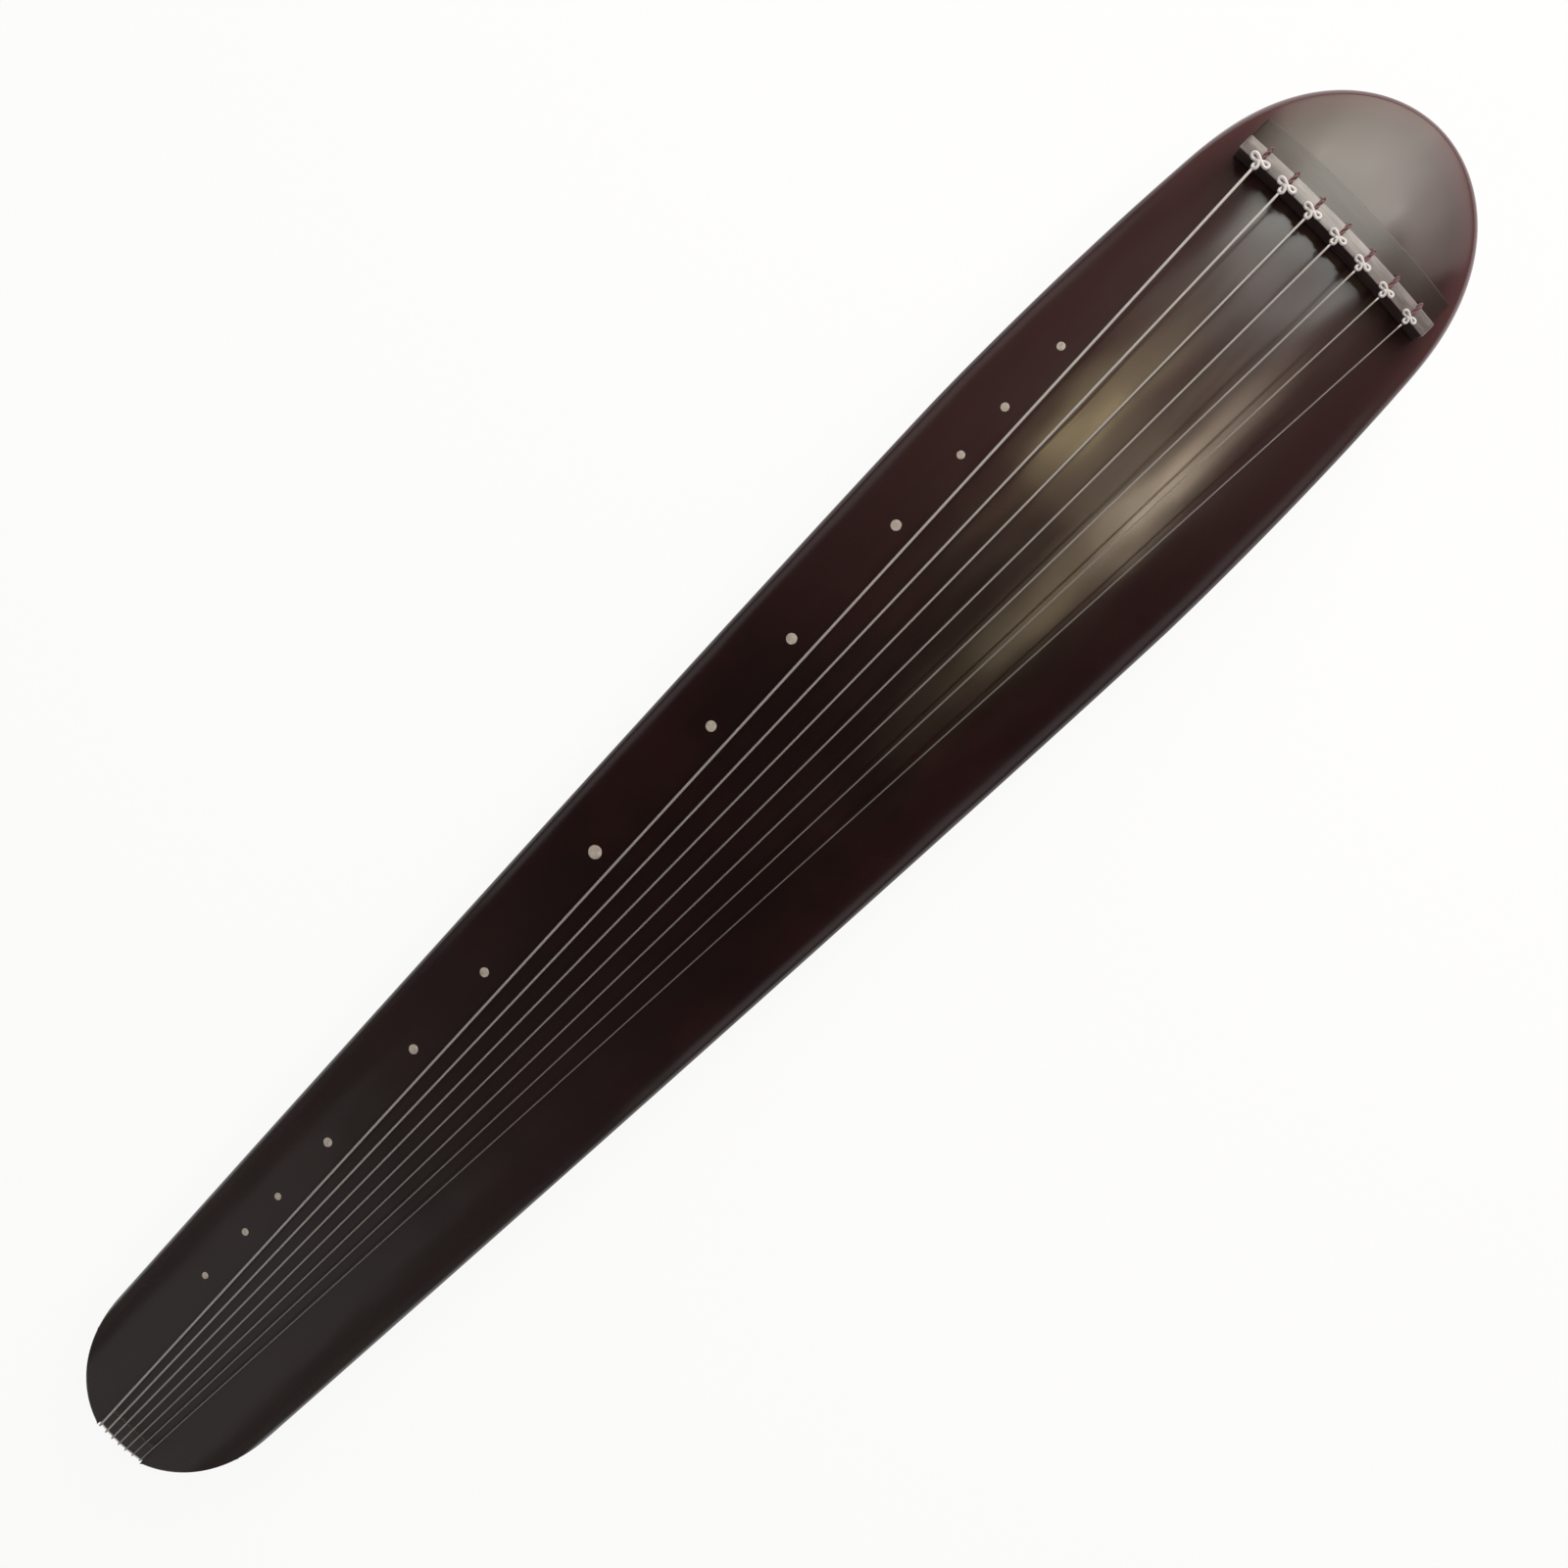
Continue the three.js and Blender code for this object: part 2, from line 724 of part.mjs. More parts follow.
// Points of a string's turns round a foot's neck, going down by one pitch a turn.
function windingPoints(foot, radius, pitch, topZ, startAngle) {
  const points = [];
  for (let i = 0; i <= windingTurnCount * windingSteps; i += 1) {
    const turn = i / windingSteps;
    const angle = startAngle + 2 * Math.PI * turn;
    const x = footX + radius * Math.cos(angle);
    const y = foot.y + foot.side * radius * Math.sin(angle);
    points.push(new THREE.Vector3(x, y, topZ - pitch * turn));
  }
  return points;
}

// The least gap between two points of a winding that lie more than half a turn apart.
function leastTurnGap(points, radius) {
  let least = Infinity;
  points.forEach((point, i) => {
    points.slice(i + windingSteps / 2).forEach((other) => {
      least = Math.min(least, point.distanceTo(other) - 2 * radius);
    });
  });
  return least;
}

// The route of a string: from its knot over the nut, down the tail, and back to a foot.
function stringRoute(place, foot, topZ) {
  const offset = place.radius + seatGap;
  const bend = 4;
  const startX = bridgeX - knotTailReach * knotStringShare;
  const points = [new THREE.Vector3(startX, place.bridgeY, bridgeTopZ(place.bridgeY) + offset)];
  for (let i = 0; i <= bend; i += 1) {
    const angle = Math.PI / 2 + ((Math.PI / 2) * i) / bend;
    const x = nutX + (nutRound + offset) * Math.cos(angle);
    const z = nutZ - nutRound + (nutRound + offset) * Math.sin(angle);
    points.push(new THREE.Vector3(x, place.nutY, z));
  }
  for (let i = 0; i <= bend; i += 1) {
    const angle = Math.PI + ((Math.PI / 2) * i) / bend;
    const x = nutFaceX + gumRound + (gumRound + offset) * Math.cos(angle);
    const z = underZ - gumDrop + gumRound + (gumRound + offset) * Math.sin(angle);
    points.push(new THREE.Vector3(x, place.nutY, z));
  }
  const radius = footNeckRadius + offset;
  const angle = tangentOnFoot(points[points.length - 1], foot, radius);
  const turns = windingPoints(foot, radius, 2 * place.radius + turnGap, topZ, angle);
  return { points: points.concat(turns), gap: leastTurnGap(turns, place.radius) };
}

// A string's knot: a loop towards the tail and a loop to either side, round a bead.
function knot(place) {
  const share = 1 + ((lastKnotShare - 1) * (place.number - 1)) / (stringCount - 1);
  const tubeRadius = place.radius;
  const tailRing = (knotTailLoop * share) / 2 - tubeRadius;
  const sideRing = (knotSideLoop * share) / 2 - tubeRadius;
  const lap = knotHalfWidth * share * knotLapShare;
  const stretch = (knotHalfWidth * share + lap - 2 * tubeRadius) / (2 * sideRing);
  const tailRingX = (knotTailLoop / 2 - knotTailReach) * share;
  const sideX = (knotHeadReach - knotSideLoop / 2) * share;
  const sideY = (knotHalfWidth * share - lap) / 2;
  const bead = solidOf(new THREE.SphereGeometry((knotBead * share) / 2, 6, 4));
  const whole = ring(tailRing, tubeRadius, 1)
    .translate([tailRingX, 0, 0])
    .add(ring(sideRing, tubeRadius, stretch).translate([sideX, sideY, 0]))
    .add(ring(sideRing, tubeRadius, stretch).translate([sideX, -sideY, 0]))
    .add(bead.translate([sideX - (knotSideLoop * share) / 4, 0, 0]));
  const slope = (-2 * bridgeArch * place.bridgeY) / bridgeHalfLength ** 2;
  const height = bridgeTopZ(place.bridgeY) + tubeRadius + seatGap;
  const tilt = THREE.MathUtils.radToDeg(Math.atan(slope));
  return whole.rotate([tilt, 0, 0]).translate([bridgeX, place.bridgeY, height]);
}

// A flat ring that lies level, drawn out along Y.
function ring(radius, tubeRadius, stretch) {
  const geometry = new THREE.TorusGeometry(radius, tubeRadius, knotSides, knotSteps);
  geometry.scale(1, stretch, 1);
  return solidOf(geometry);
}

// The strings, wound one below the other on their feet: four on the outer foot, three on the inner.
function strings() {
  const [outer, inner] = footPlaces();
  let topZ = 0;
  return stringPlaces().map((place, i) => {
    const foot = i < outerFootStringCount ? outer : inner;
    if (i === 0 || i === outerFootStringCount) topZ = underZ - seatGap - footCollarHeight - collarToString;
    topZ -= place.radius;
    const route = stringRoute(place, foot, topZ);
    console.log(`string_${place.number}: least gap between turns ${route.gap.toFixed(2)} mm`);
    topZ -= windingHeight(2 * place.radius) - place.radius + stringToStringGap;
    return tube(route.points, place.radius, stringSides).add(knot(place));
  });
}

// A tuning cord: from the knot over the bridge, down behind it and into its peg's bore.
function tuningCord(place) {
  const radius = cordDiameter / 2;
  const offset = radius + seatGap;
  const top = bridgeTopZ(place.bridgeY);
  const edgeX = bridgeX + bridgeThickness;
  const bend = 3;
  const points = [new THREE.Vector3(bridgeX + knotHeadReach + seatGap, place.bridgeY, top + offset)];
  for (let i = 0; i <= bend; i += 1) {
    const angle = (Math.PI / 2) * (1 - i / bend);
    const x = edgeX + offset * Math.cos(angle);
    points.push(new THREE.Vector3(x, place.bridgeY, top + offset * Math.sin(angle)));
  }
  points.push(new THREE.Vector3(cordX, place.bridgeY, surfaceZ(cordX, place.bridgeY) + radius));
  points.push(new THREE.Vector3(cordX, place.bridgeY, pegTopZ - cordInPeg));
  return tube(points, radius, cordSides);
}

// A tuning peg: a turned handle with a neck, and a bore in its head for the cord.
function tuningPeg(place) {
  const profile = [
    [0, -pegLength],
    [pegFootRadius - pegFootRound, -pegLength],
    [pegFootRadius, -pegLength + pegFootRound],
    [pegBellyRadius, -pegBellyDepth],
    [pegNeckRadius, -pegNeckDepth],
    [pegHeadRadius, -pegHeadHeight],
    [pegHeadRadius, 0],
    [cordHoleRadius, 0],
    [cordHoleRadius, -pegBoreDepth],
    [0, -pegBoreDepth],
  ];
  return turned(profile, pegSides).translate([cordX, place.bridgeY, pegTopZ]);
}

// A peg guard: a block with a waist, which stands beside the pegs and carries the head end.
function pegGuard(side) {
  const half = guardLength / 2;
  const waist = half * guardWaistShare;
  const top = underZ - seatGap;
  const shape = new THREE.Shape();
  shape.moveTo(-half, 0);
  shape.lineTo(half, 0);
  shape.quadraticCurveTo(waist, top / 2, half, top);
  shape.lineTo(-half, top);
  shape.quadraticCurveTo(-waist, top / 2, -half, 0);
  const geometry = extruded(shape, guardThickness);
  geometry.rotateX(Math.PI / 2);
  geometry.translate(guardX, side * guardY + guardThickness / 2, 0);
  return solidOf(geometry);
}

// The sound posts stand on the bottom board and are cut off along the ceiling.
function roundPost() {
  const x = dragonPoolX + dragonPoolLength / 2 + roundPostFromPool;
  const post = rod(x, 0, roundPostDiameter / 2, glueZ + seatGap, roofZ, footSides);
  return post.intersect(hollow.translate([0, 0, -seatGap]));
}

function squarePost() {
  const x = dragonPoolX - dragonPoolLength / 2 - squarePostFromPool;
  const half = squarePostWidth / 2;
  const post = block(x - half, x + half, -half, half, glueZ + seatGap, roofZ);
  return post.intersect(hollow.translate([0, 0, -seatGap]));
}

function headStrip() {
  return cordHoles().reduce((strip, hole) => strip.subtract(hole), stripBlank(0));
}

// The hardwood plate that lines the peg pool, which the pegs' heads bear on.
function pegPlate() {
  const halfX = pegPoolHalfWidth - seatGap;
  const halfY = pegPoolHalfLength - seatGap;
  const blank = block(cordX - halfX, cordX + halfX, -halfY, halfY, plateZ, glueZ);
  return cordHoles().reduce((plate, hole) => plate.subtract(hole), blank);
}

const lacquer = { color: 0x24171a, roughness: 0.35, metalness: 0 };
const hardwood = { color: 0x1b1516, roughness: 0.4, metalness: 0 };
const rawWood = { color: 0x9a7448, roughness: 0.75, metalness: 0 };
const shell = { color: 0xd8cfc4, roughness: 0.3, metalness: 0 };
const silk = { color: 0xd9d2c8, roughness: 0.5, metalness: 0 };
const redCord = { color: 0x5a1f28, roughness: 0.8, metalness: 0 };

const hollow = hollowBlank();
const guqin = new THREE.Group();

// Adds one named piece.
function add(name, solid, look) {
  const mesh = new THREE.Mesh(geometryOf(solid), new THREE.MeshStandardMaterial(look));
  mesh.name = name;
  guqin.add(mesh);
}

add("top_board", topBoard(), lacquer);
add("bottom_board", bottomBoard(), lacquer);
add("bridge", bridgeBlank(0), hardwood);
add("cord_strip", headStrip(), hardwood);
add("string_nut", stringNut(), hardwood);
add("lower_gum", lowerGum(), hardwood);
add("crown_corner_outer", bodyBlank(0).intersect(crownBlank(1, 0)), hardwood);
add("crown_corner_inner", bodyBlank(0).intersect(crownBlank(-1, 0)), hardwood);
add("peg_plate", pegPlate(), hardwood);
add("peg_guard_outer", pegGuard(1), hardwood);
add("peg_guard_inner", pegGuard(-1), hardwood);
add("round_sound_post", roundPost(), rawWood);
add("square_sound_post", squarePost(), rawWood);
for (const hole of soundHoles()) add(hole.name, soundHoleRim(hole), hardwood);
for (const foot of footPlaces()) {
  add(`goose_foot_${foot.name}`, gooseFoot(foot), hardwood);
  add(`foot_block_${foot.name}`, footBlock(foot), rawWood);
}
for (const place of studPlaces()) add(`stud_${place.number}`, studBlank(place, 0), shell);
strings().forEach((solid, i) => add(`string_${i + 1}`, solid, silk));
for (const place of stringPlaces()) {
  add(`tuning_cord_${place.number}`, tuningCord(place), redCord);
  add(`tuning_peg_${place.number}`, tuningPeg(place), hardwood);
}

export default guqin;
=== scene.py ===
import math

import bmesh
import bpy
import numpy as np
from mathutils import Matrix, Vector, geometry


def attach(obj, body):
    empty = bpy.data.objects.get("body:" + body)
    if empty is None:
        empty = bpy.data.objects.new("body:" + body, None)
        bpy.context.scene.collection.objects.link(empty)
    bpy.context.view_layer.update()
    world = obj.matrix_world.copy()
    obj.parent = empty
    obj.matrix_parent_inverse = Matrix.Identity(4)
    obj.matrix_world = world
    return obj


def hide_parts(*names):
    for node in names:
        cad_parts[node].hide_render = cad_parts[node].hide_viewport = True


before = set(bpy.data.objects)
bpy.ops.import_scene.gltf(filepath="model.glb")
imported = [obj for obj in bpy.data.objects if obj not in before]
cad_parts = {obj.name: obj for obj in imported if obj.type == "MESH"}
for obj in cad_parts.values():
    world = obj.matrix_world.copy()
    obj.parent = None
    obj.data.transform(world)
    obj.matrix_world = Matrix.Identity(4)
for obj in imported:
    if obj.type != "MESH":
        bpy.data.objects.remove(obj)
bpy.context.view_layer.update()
scene = bpy.context.scene
scene.view_settings.view_transform = "Standard"

# Camera. It hangs about 0.9 m over the head half of the instrument and looks almost straight
# down, with the head at the upper right. One upright view, a slightly wide lens.

camera_place = Vector((0.24766, 0.03995, 0.96715))
camera_looks = Vector((-0.18974521, -0.04451418, -0.98082376)).normalized()
camera_up = Vector((0.69147272, 0.70314675, -0.16568078))
camera_right = camera_looks.cross(camera_up).normalized()
camera_up = camera_right.cross(camera_looks)
camera_turn = Matrix((camera_right, camera_up, -camera_looks)).transposed().to_4x4()
camera = bpy.data.objects.new("camera", bpy.data.cameras.new("camera"))
camera.data.lens = 32.97
camera.data.sensor_width = 36
camera.data.clip_start = 0.01
camera.matrix_world = Matrix.Translation(camera_place) @ camera_turn
scene.collection.objects.link(camera)
scene.camera = camera

# Studio floor. A wide pale dish of seamless paper, level under the instrument and curving up to
# a low wall, so that there is no line behind the instrument from any side.

level_rings = [0, 400, 1200]
level_radius = 4200
sweep_radius = 1600
wall_height = 2600
merge_distance = 2e-6


def linear(hex_colour):
    """An sRGB hex colour as linear red, green, blue and alpha."""
    channels = np.array([hex_colour >> shift & 255 for shift in (16, 8, 0)]) / 255
    low = channels / 12.92
    high = ((channels + 0.055) / 1.055) ** 2.4
    return (*np.where(channels <= 0.04045, low, high), 1.0)


def set_inputs(tree, node, inputs):
    """Links each input to a socket, or sets its own value."""
    for name, value in inputs.items():
        if isinstance(value, bpy.types.NodeSocket):
            tree.links.new(value, node.inputs[name])
        else:
            node.inputs[name].default_value = value


def add_node(tree, kind, inputs=None, **settings):
    """Adds a shader node, sets its settings, and sets or links its inputs. Stops are those of a
    colour ramp, as positions and shades."""
    node = tree.nodes.new("ShaderNode" + kind)
    for name, value in settings.items():
        if name == "stops":
            for i, (position, shade) in enumerate(value):
                stop = node.color_ramp.elements[i] if i < 2 else node.color_ramp.elements.new(position)
                stop.position, stop.color = position, shade
        else:
            setattr(node, name, value)
    set_inputs(tree, node, inputs or {})
    return node


def new_material(name):
    """A new material, its node tree and its shader."""
    made = bpy.data.materials.new(name)
    made.use_nodes = True
    return made, made.node_tree, made.node_tree.nodes["Principled BSDF"]


def grid(points, slot=0):
    """A patch over a grid of points: each quad joins four neighbours."""
    rows, columns = points.shape[:2]
    corner = (np.arange(rows - 1)[:, None] * columns + np.arange(columns - 1)).ravel()
    quads = np.stack([corner, corner + 1, corner + columns + 1, corner + columns], axis=1)
    return points.reshape(-1, 3), quads, slot


def piece(name, patches, materials, crease=35, closed=True):
    """One mesh from patches in millimetres. Points that two patches share are merged, which
    closes the seams and poles, and edges sharper than the crease angle stay crisp."""
    starts = np.cumsum([0] + [len(points) for points, _, _ in patches])
    points = np.concatenate([points for points, _, _ in patches]) * 0.001
    faces = []
    for (_, corners, _), start in zip(patches, starts):
        faces += (corners + start).tolist()
    slots = np.concatenate([np.full(len(corners), slot) for _, corners, slot in patches])
    mesh = bpy.data.meshes.new(name)
    mesh.from_pydata(points.tolist(), [], faces)
    mesh.polygons.foreach_set("material_index", slots.astype(np.int32))
    shape = bmesh.new()
    shape.from_mesh(mesh)
    bmesh.ops.remove_doubles(shape, verts=shape.verts, dist=merge_distance)
    if closed:
        bmesh.ops.recalc_face_normals(shape, faces=shape.faces)
    shape.to_mesh(mesh)
    shape.free()
    mesh.shade_smooth()
    mesh.set_sharp_from_angle(angle=math.radians(crease))
    for material in materials:
        mesh.materials.append(material)
    made = bpy.data.objects.new(name, mesh)
    scene.collection.objects.link(made)
    return made


paper, tree, shader = new_material("white_seamless_paper")
# The paper is white where the instrument stands and turns grey towards the wall, which keeps
# the wall's reflection in the lacquer's long sides dark.
place = add_node(tree, "TexCoord")
from_middle = add_node(tree, "VectorMath", {0: place.outputs["Object"]}, operation="LENGTH")
near = add_node(
    tree,
    "MapRange",
    {
        "Value": from_middle.outputs["Value"],
        "From Min": 2.2,
        "From Max": 5.0,
        "To Min": 1.0,
        "To Max": 0.0,
    },
    interpolation_type="SMOOTHSTEP",
)
tone = add_node(
    tree, "Mix", {0: near.outputs[0], 6: linear(0x8E8E8C), 7: linear(0xF2F2F1)}, data_type="RGBA"
)
set_inputs(tree, shader, {"Base Color": tone.outputs[2], "Roughness": 0.9, "Specular IOR Level": 0.2})
# White paper seen directly glows, so that it reads as white right up the wall, and so does the
# level part in a reflection; what falls on it as shadow stays.
ray = add_node(tree, "LightPath")
seen = add_node(
    tree,
    "Math",
    {0: ray.outputs["Is Glossy Ray"], 1: ray.outputs["Is Transmission Ray"]},
    operation="MAXIMUM",
)
seen = add_node(tree, "Math", {0: seen.outputs[0], 1: near.outputs[0]}, operation="MULTIPLY")
seen = add_node(
    tree, "Math", {0: seen.outputs[0], 1: ray.outputs["Is Camera Ray"]}, operation="MAXIMUM"
)
share = add_node(tree, "Math", {0: seen.outputs[0], 1: 0.9}, operation="MULTIPLY")
glow = add_node(tree, "Emission", {"Color": (1, 1, 1, 1), "Strength": 1.0})
both = add_node(tree, "MixShader", {0: share.outputs[0], 1: shader.outputs[0], 2: glow.outputs[0]})
set_inputs(tree, tree.nodes["Material Output"], {"Surface": both.outputs[0]})


def dish():
    """Rings about the Z axis: level, then a quarter circle up, then straight up."""
    bend = np.linspace(0, np.pi / 2, 24)
    sweep = level_radius + sweep_radius * np.sin(bend)
    radius = np.concatenate([level_rings, sweep, sweep[-1:]])[:, None]
    height = np.concatenate([[0, 0, 0], sweep_radius * (1 - np.cos(bend)), [wall_height]])[:, None]
    turn = np.linspace(0, 2 * np.pi, 97)
    return np.stack([radius * np.cos(turn), radius * np.sin(turn), height + 0 * turn], axis=2)


floor = piece("studio_floor", [grid(dish())], [paper], closed=False)
floor.data.flip_normals()

# Studio light. A dim room with tall windows side by side beyond the head and one above them,
# which the domed head mirrors, and small warm ceiling panels, which the arch mirrors as pale
# patches under the strings. Two wide dim boxes at the tail and one on each side fill in.

world = bpy.data.worlds.new("dim_room")
world.use_nodes = True
background = world.node_tree.nodes["Background"]
# The room gives little light, but reads as pale as the paper where a view looks over the wall.
ray = add_node(world.node_tree, "LightPath")
room = add_node(
    world.node_tree, "MapRange", {"Value": ray.outputs["Is Camera Ray"], "To Min": 0.03, "To Max": 0.91}
)
set_inputs(world.node_tree, background, {"Color": (1.0, 1.0, 1.0, 1.0), "Strength": room.outputs[0]})
scene.world = world


def softbox(name, place, target, width, height, radiance, shade, fade=(1.0, 1.0), rise=(1.0, 1.0)):
    """A rectangular lamp that faces a target. Its power is its radiance times pi times its area,
    and its light changes evenly from its near edge to its far edge, by the two shares of fade,
    and from its bottom to its top, by those of rise."""
    lamp = bpy.data.lights.new(name, "AREA")
    lamp.shape = "RECTANGLE"
    lamp.size, lamp.size_y = width * 0.001, height * 0.001
    lamp.energy = radiance * math.pi * lamp.size * lamp.size_y
    lamp.color = linear(shade)[:3]
    lamp.use_nodes = True
    tree = lamp.node_tree
    spot = add_node(tree, "NewGeometry")
    spot = add_node(tree, "SeparateXYZ", {0: spot.outputs["Parametric"]})
    levels = [
        add_node(tree, "MapRange", {"Value": spot.outputs[axis], "To Min": ends[0], "To Max": ends[1]})
        for axis, ends in (("X", fade), ("Y", rise))
    ]
    level = add_node(
        tree, "Math", {0: levels[0].outputs[0], 1: levels[1].outputs[0]}, operation="MULTIPLY"
    )
    set_inputs(tree, tree.nodes["Emission"], {"Strength": level.outputs[0]})
    made = bpy.data.objects.new(name, lamp)
    facing = (Vector(place) - Vector(target)).normalized().to_track_quat("Z", "Y")
    made.matrix_world = Matrix.Translation(Vector(place) * 0.001) @ facing.to_matrix().to_4x4()
    made.visible_camera = False
    scene.collection.objects.link(made)


for name, place, width, height, radiance, shade, fade, rise in (
    ("head_window_middle", (3058, 261, 2185), 972, 3499, 5.6, 0xFFFDF0, (1.0, 1.0), (0.48, 1.3)),
    ("head_window_far", (2643, 1398, 2185), 1529, 3499, 4.3, 0xFFFBEA, (1.3, 0.7), (0.5, 1.3)),
    ("head_window_near", (2835, -1057, 2275), 1820, 3319, 3.1, 0xFFF8F1, (0.45, 1.55), (0.48, 1.3)),
):
    softbox(name, place, (570, 0, place[2]), width, height, radiance, shade, fade, rise)
softbox("head_window_top", (1927, 119, 2758), (570, 0, 85), 1573, 631, 6.3, 0xFFFDF0)
for name, place, width, height, radiance, shade, fade in (
    ("ceiling_panel_head", (1150, 90, 2000), 150, 1050, 7.4, 0xFBFFFA, (1.0, 1.0)),
    ("ceiling_panel_far", (625, 235, 2000), 150, 200, 8.2, 0xFFE6B0, (1.0, 1.0)),
    ("ceiling_glow_far", (650, 280, 2010), 180, 460, 5.3, 0xFFE9B2, (1.0, 1.0)),
    ("ceiling_glow_middle", (590, -140, 2020), 200, 420, 2.1, 0xFFEFC6, (1.0, 1.0)),
    ("ceiling_panel_near", (675, -555, 2000), 310, 300, 11.5, 0xFFE9CA, (0.6, 1.4)),
    ("ceiling_panel_tail", (325, -520, 2000), 390, 260, 2.9, 0xFFE8B8, (0.3, 1.7)),
):
    softbox(name, place, (place[0], place[1], 0), width, height, radiance, shade, fade)
softbox("tail_ceiling", (-2300, 0, 1900), (-560, 0, 85), 2600, 1300, 0.22, 0xFFFFFF)
softbox("tail_window", (-3600, 0, 700), (-600, 0, 85), 3000, 1300, 2.8, 0xFFFFFF)
softbox("far_side_box", (-100, 3300, 1300), (0, 0, 60), 3200, 1100, 0.5, 0xFFFFFF)
softbox("near_side_box", (-100, -3300, 1300), (0, 0, 60), 3200, 1100, 0.5, 0xFFFFFF)

# Top board. An arched shell of paulownia, hollowed from below, primed with ash and coated with
# many thin layers of raw lacquer that are rubbed down between coats.

head_x = 609.0
tail_x = -head_x
shoulder_x = 309.4
head_length = 110.1
tail_length = 81.4
tail_overrun = 3.2
tail_tip_x = tail_x - tail_overrun
head_round_x = head_x - head_length
tail_round_x = tail_tip_x + tail_length
tail_half = 70.8
shoulder_half = 99.95
head_half = 79.9
tip_half = 3.0
side_bow = 1.222
head_power = 2.733
tail_power = 2.368
under_z = 40.0
glue_z = 50.0
# Heights over the underside at the tail, the shoulder and the head.
edge_heights = (26, 29, 27)
crown_heights = (44, 51, 49.5)
arch_power = 0.55
head_dome = 0.9
# The nut and the gum sit in a notch in the tail's edge.
notch_half = 20.8
notch_x = -605.4
notch_steps = 10
notch_round = 0.3
# The upper edge is rounder towards both ends, from these places on and over these lengths.
side_round = 0.7
head_extra_round = 3.6
head_rounder_x, head_rounder_length = 455, 110
tail_extra_round = 0.6
tail_rounder_x, tail_rounder_length = -540, 50
# The middle line's point that faces the tip of the head or tail lies this far from the tip.
head_pull = 60
tail_pull = 40


def side_half_width(x):
    """Half the width between the long sides: a power curve back from the shoulder to the tail,
    and a parabola from the shoulder to the head."""
    back = np.clip((shoulder_x - x) / (shoulder_x - tail_tip_x), 0, None)
    ahead = np.clip((x - shoulder_x) / (head_x - shoulder_x), 0, None)
    narrower = (shoulder_half - tail_half) * back**side_bow + (shoulder_half - head_half) * ahead**2
    return shoulder_half - narrower


def head_round(x):
    """0 where the round head starts, 1 at its tip, as a power of the share of the way."""
    return np.clip((x - head_round_x) / head_length, 0, 1) ** head_power


def tail_round(x):
    """The same for the round tail."""
    return np.clip((tail_round_x - x) / tail_length, 0, 1) ** tail_power


def closing_half_width(x):
    """The long sides' half width, drawn in by the round ends as the root of what is left."""
    return side_half_width(x) * np.sqrt((1 - head_round(x)) * (1 - tail_round(x)))


def along(x, at_tail, at_shoulder, at_head):
    """A height that runs straight from the tail to the shoulder and from there to the head."""
    back = at_shoulder + (at_tail - at_shoulder) * (shoulder_x - x) / (shoulder_x - tail_x)
    ahead = at_shoulder + (at_head - at_shoulder) * (x - shoulder_x) / (head_x - shoulder_x)
    return np.where(x < shoulder_x, back, ahead)


def surface_z(x, y):
    """The playing surface: an arch across, a power of one less the square of the share of the
    half width, which the head rounds off."""
    edge = along(x, *edge_heights)
    crown = along(x, *crown_heights)
    inside = 1 - (y / side_half_width(x)) ** 2 - head_dome * head_round(x)
    return under_z + edge + (crown - edge) * np.clip(inside, 0, None) ** arch_power


def at_height(place, z):
    """Points of the plan with a height, one for all or one for each."""
    return np.column_stack([place, np.broadcast_to(z, len(place))])


def body_outline():
    """Half of the plan, from the middle of the tail's notch round the far side to the head's tip,
    as places, inward directions, and the point on the middle line that each faces."""
    turn = np.linspace(math.asin(1 - tail_overrun / tail_length), 0, 44, endpoint=False)
    x = np.concatenate(
        [
            tail_tip_x + tail_length * (1 - np.sin(turn)),
            np.linspace(tail_round_x, head_round_x, 190, endpoint=False),
            head_round_x + head_length * np.sin(np.linspace(0, np.pi / 2, 84)),
        ]
    )
    y = closing_half_width(x)
    step = np.stack([np.gradient(x), np.gradient(y)], axis=1)
    step /= np.linalg.norm(step, axis=1)[:, None]
    head_share = np.clip((x - head_round_x) / head_length, 0, 1)
    tail_share = np.clip((tail_round_x - x) / tail_length, 0, 1)
    spine = x - head_pull * head_share**1.5 + tail_pull * tail_share**1.5
    notch_y = np.linspace(0, notch_half, notch_steps)
    place = np.concatenate(
        [
            np.stack([np.full(notch_steps, notch_x), notch_y], axis=1),
            [[tail_x, notch_half]],
            np.stack([x, np.maximum(y, tip_half)], axis=1),
            [[head_x, tip_half / 2], [head_x, 0]],
        ]
    )
    to_head = np.tile([[1.0, 0.0]], (notch_steps + 1, 1))
    inward = np.concatenate([to_head, np.stack([step[:, 1], -step[:, 0]], axis=1), -to_head[:2]])
    notch_spine = np.linspace(spine[0] - 8, spine[0] - 1, notch_steps + 1)
    return place, inward, np.concatenate([notch_spine, spine, [spine[-1] + 0.2, spine[-1] + 0.4]])


outline, inward, spine_x = body_outline()


def smooth(share):
    """From 0 to 1 along a cubic that is level at both ends."""
    return share**2 * (3 - 2 * share)


def edge_round(x):
    """Radius of the upper edge: small along the sides, wide round the head."""
    to_head = np.clip((x - head_rounder_x) / head_rounder_length, 0, 1)
    to_tail = np.clip((tail_rounder_x - x) / tail_rounder_length, 0, 1)
    return side_round + head_extra_round * smooth(to_head) + tail_extra_round * to_tail


def clear_of_notch(place):
    """The same points, held out of the tail's notch and off the other half."""
    least = np.where(place[:, 0] < notch_x, notch_half, 0)
    return np.column_stack([place[:, 0], np.maximum(place[:, 1], least)])


def inset(distance):
    """The plan's edge moved inwards by a distance; at the tail's tips it stays out of the notch."""
    return clear_of_notch(outline + inward * distance[:, None])


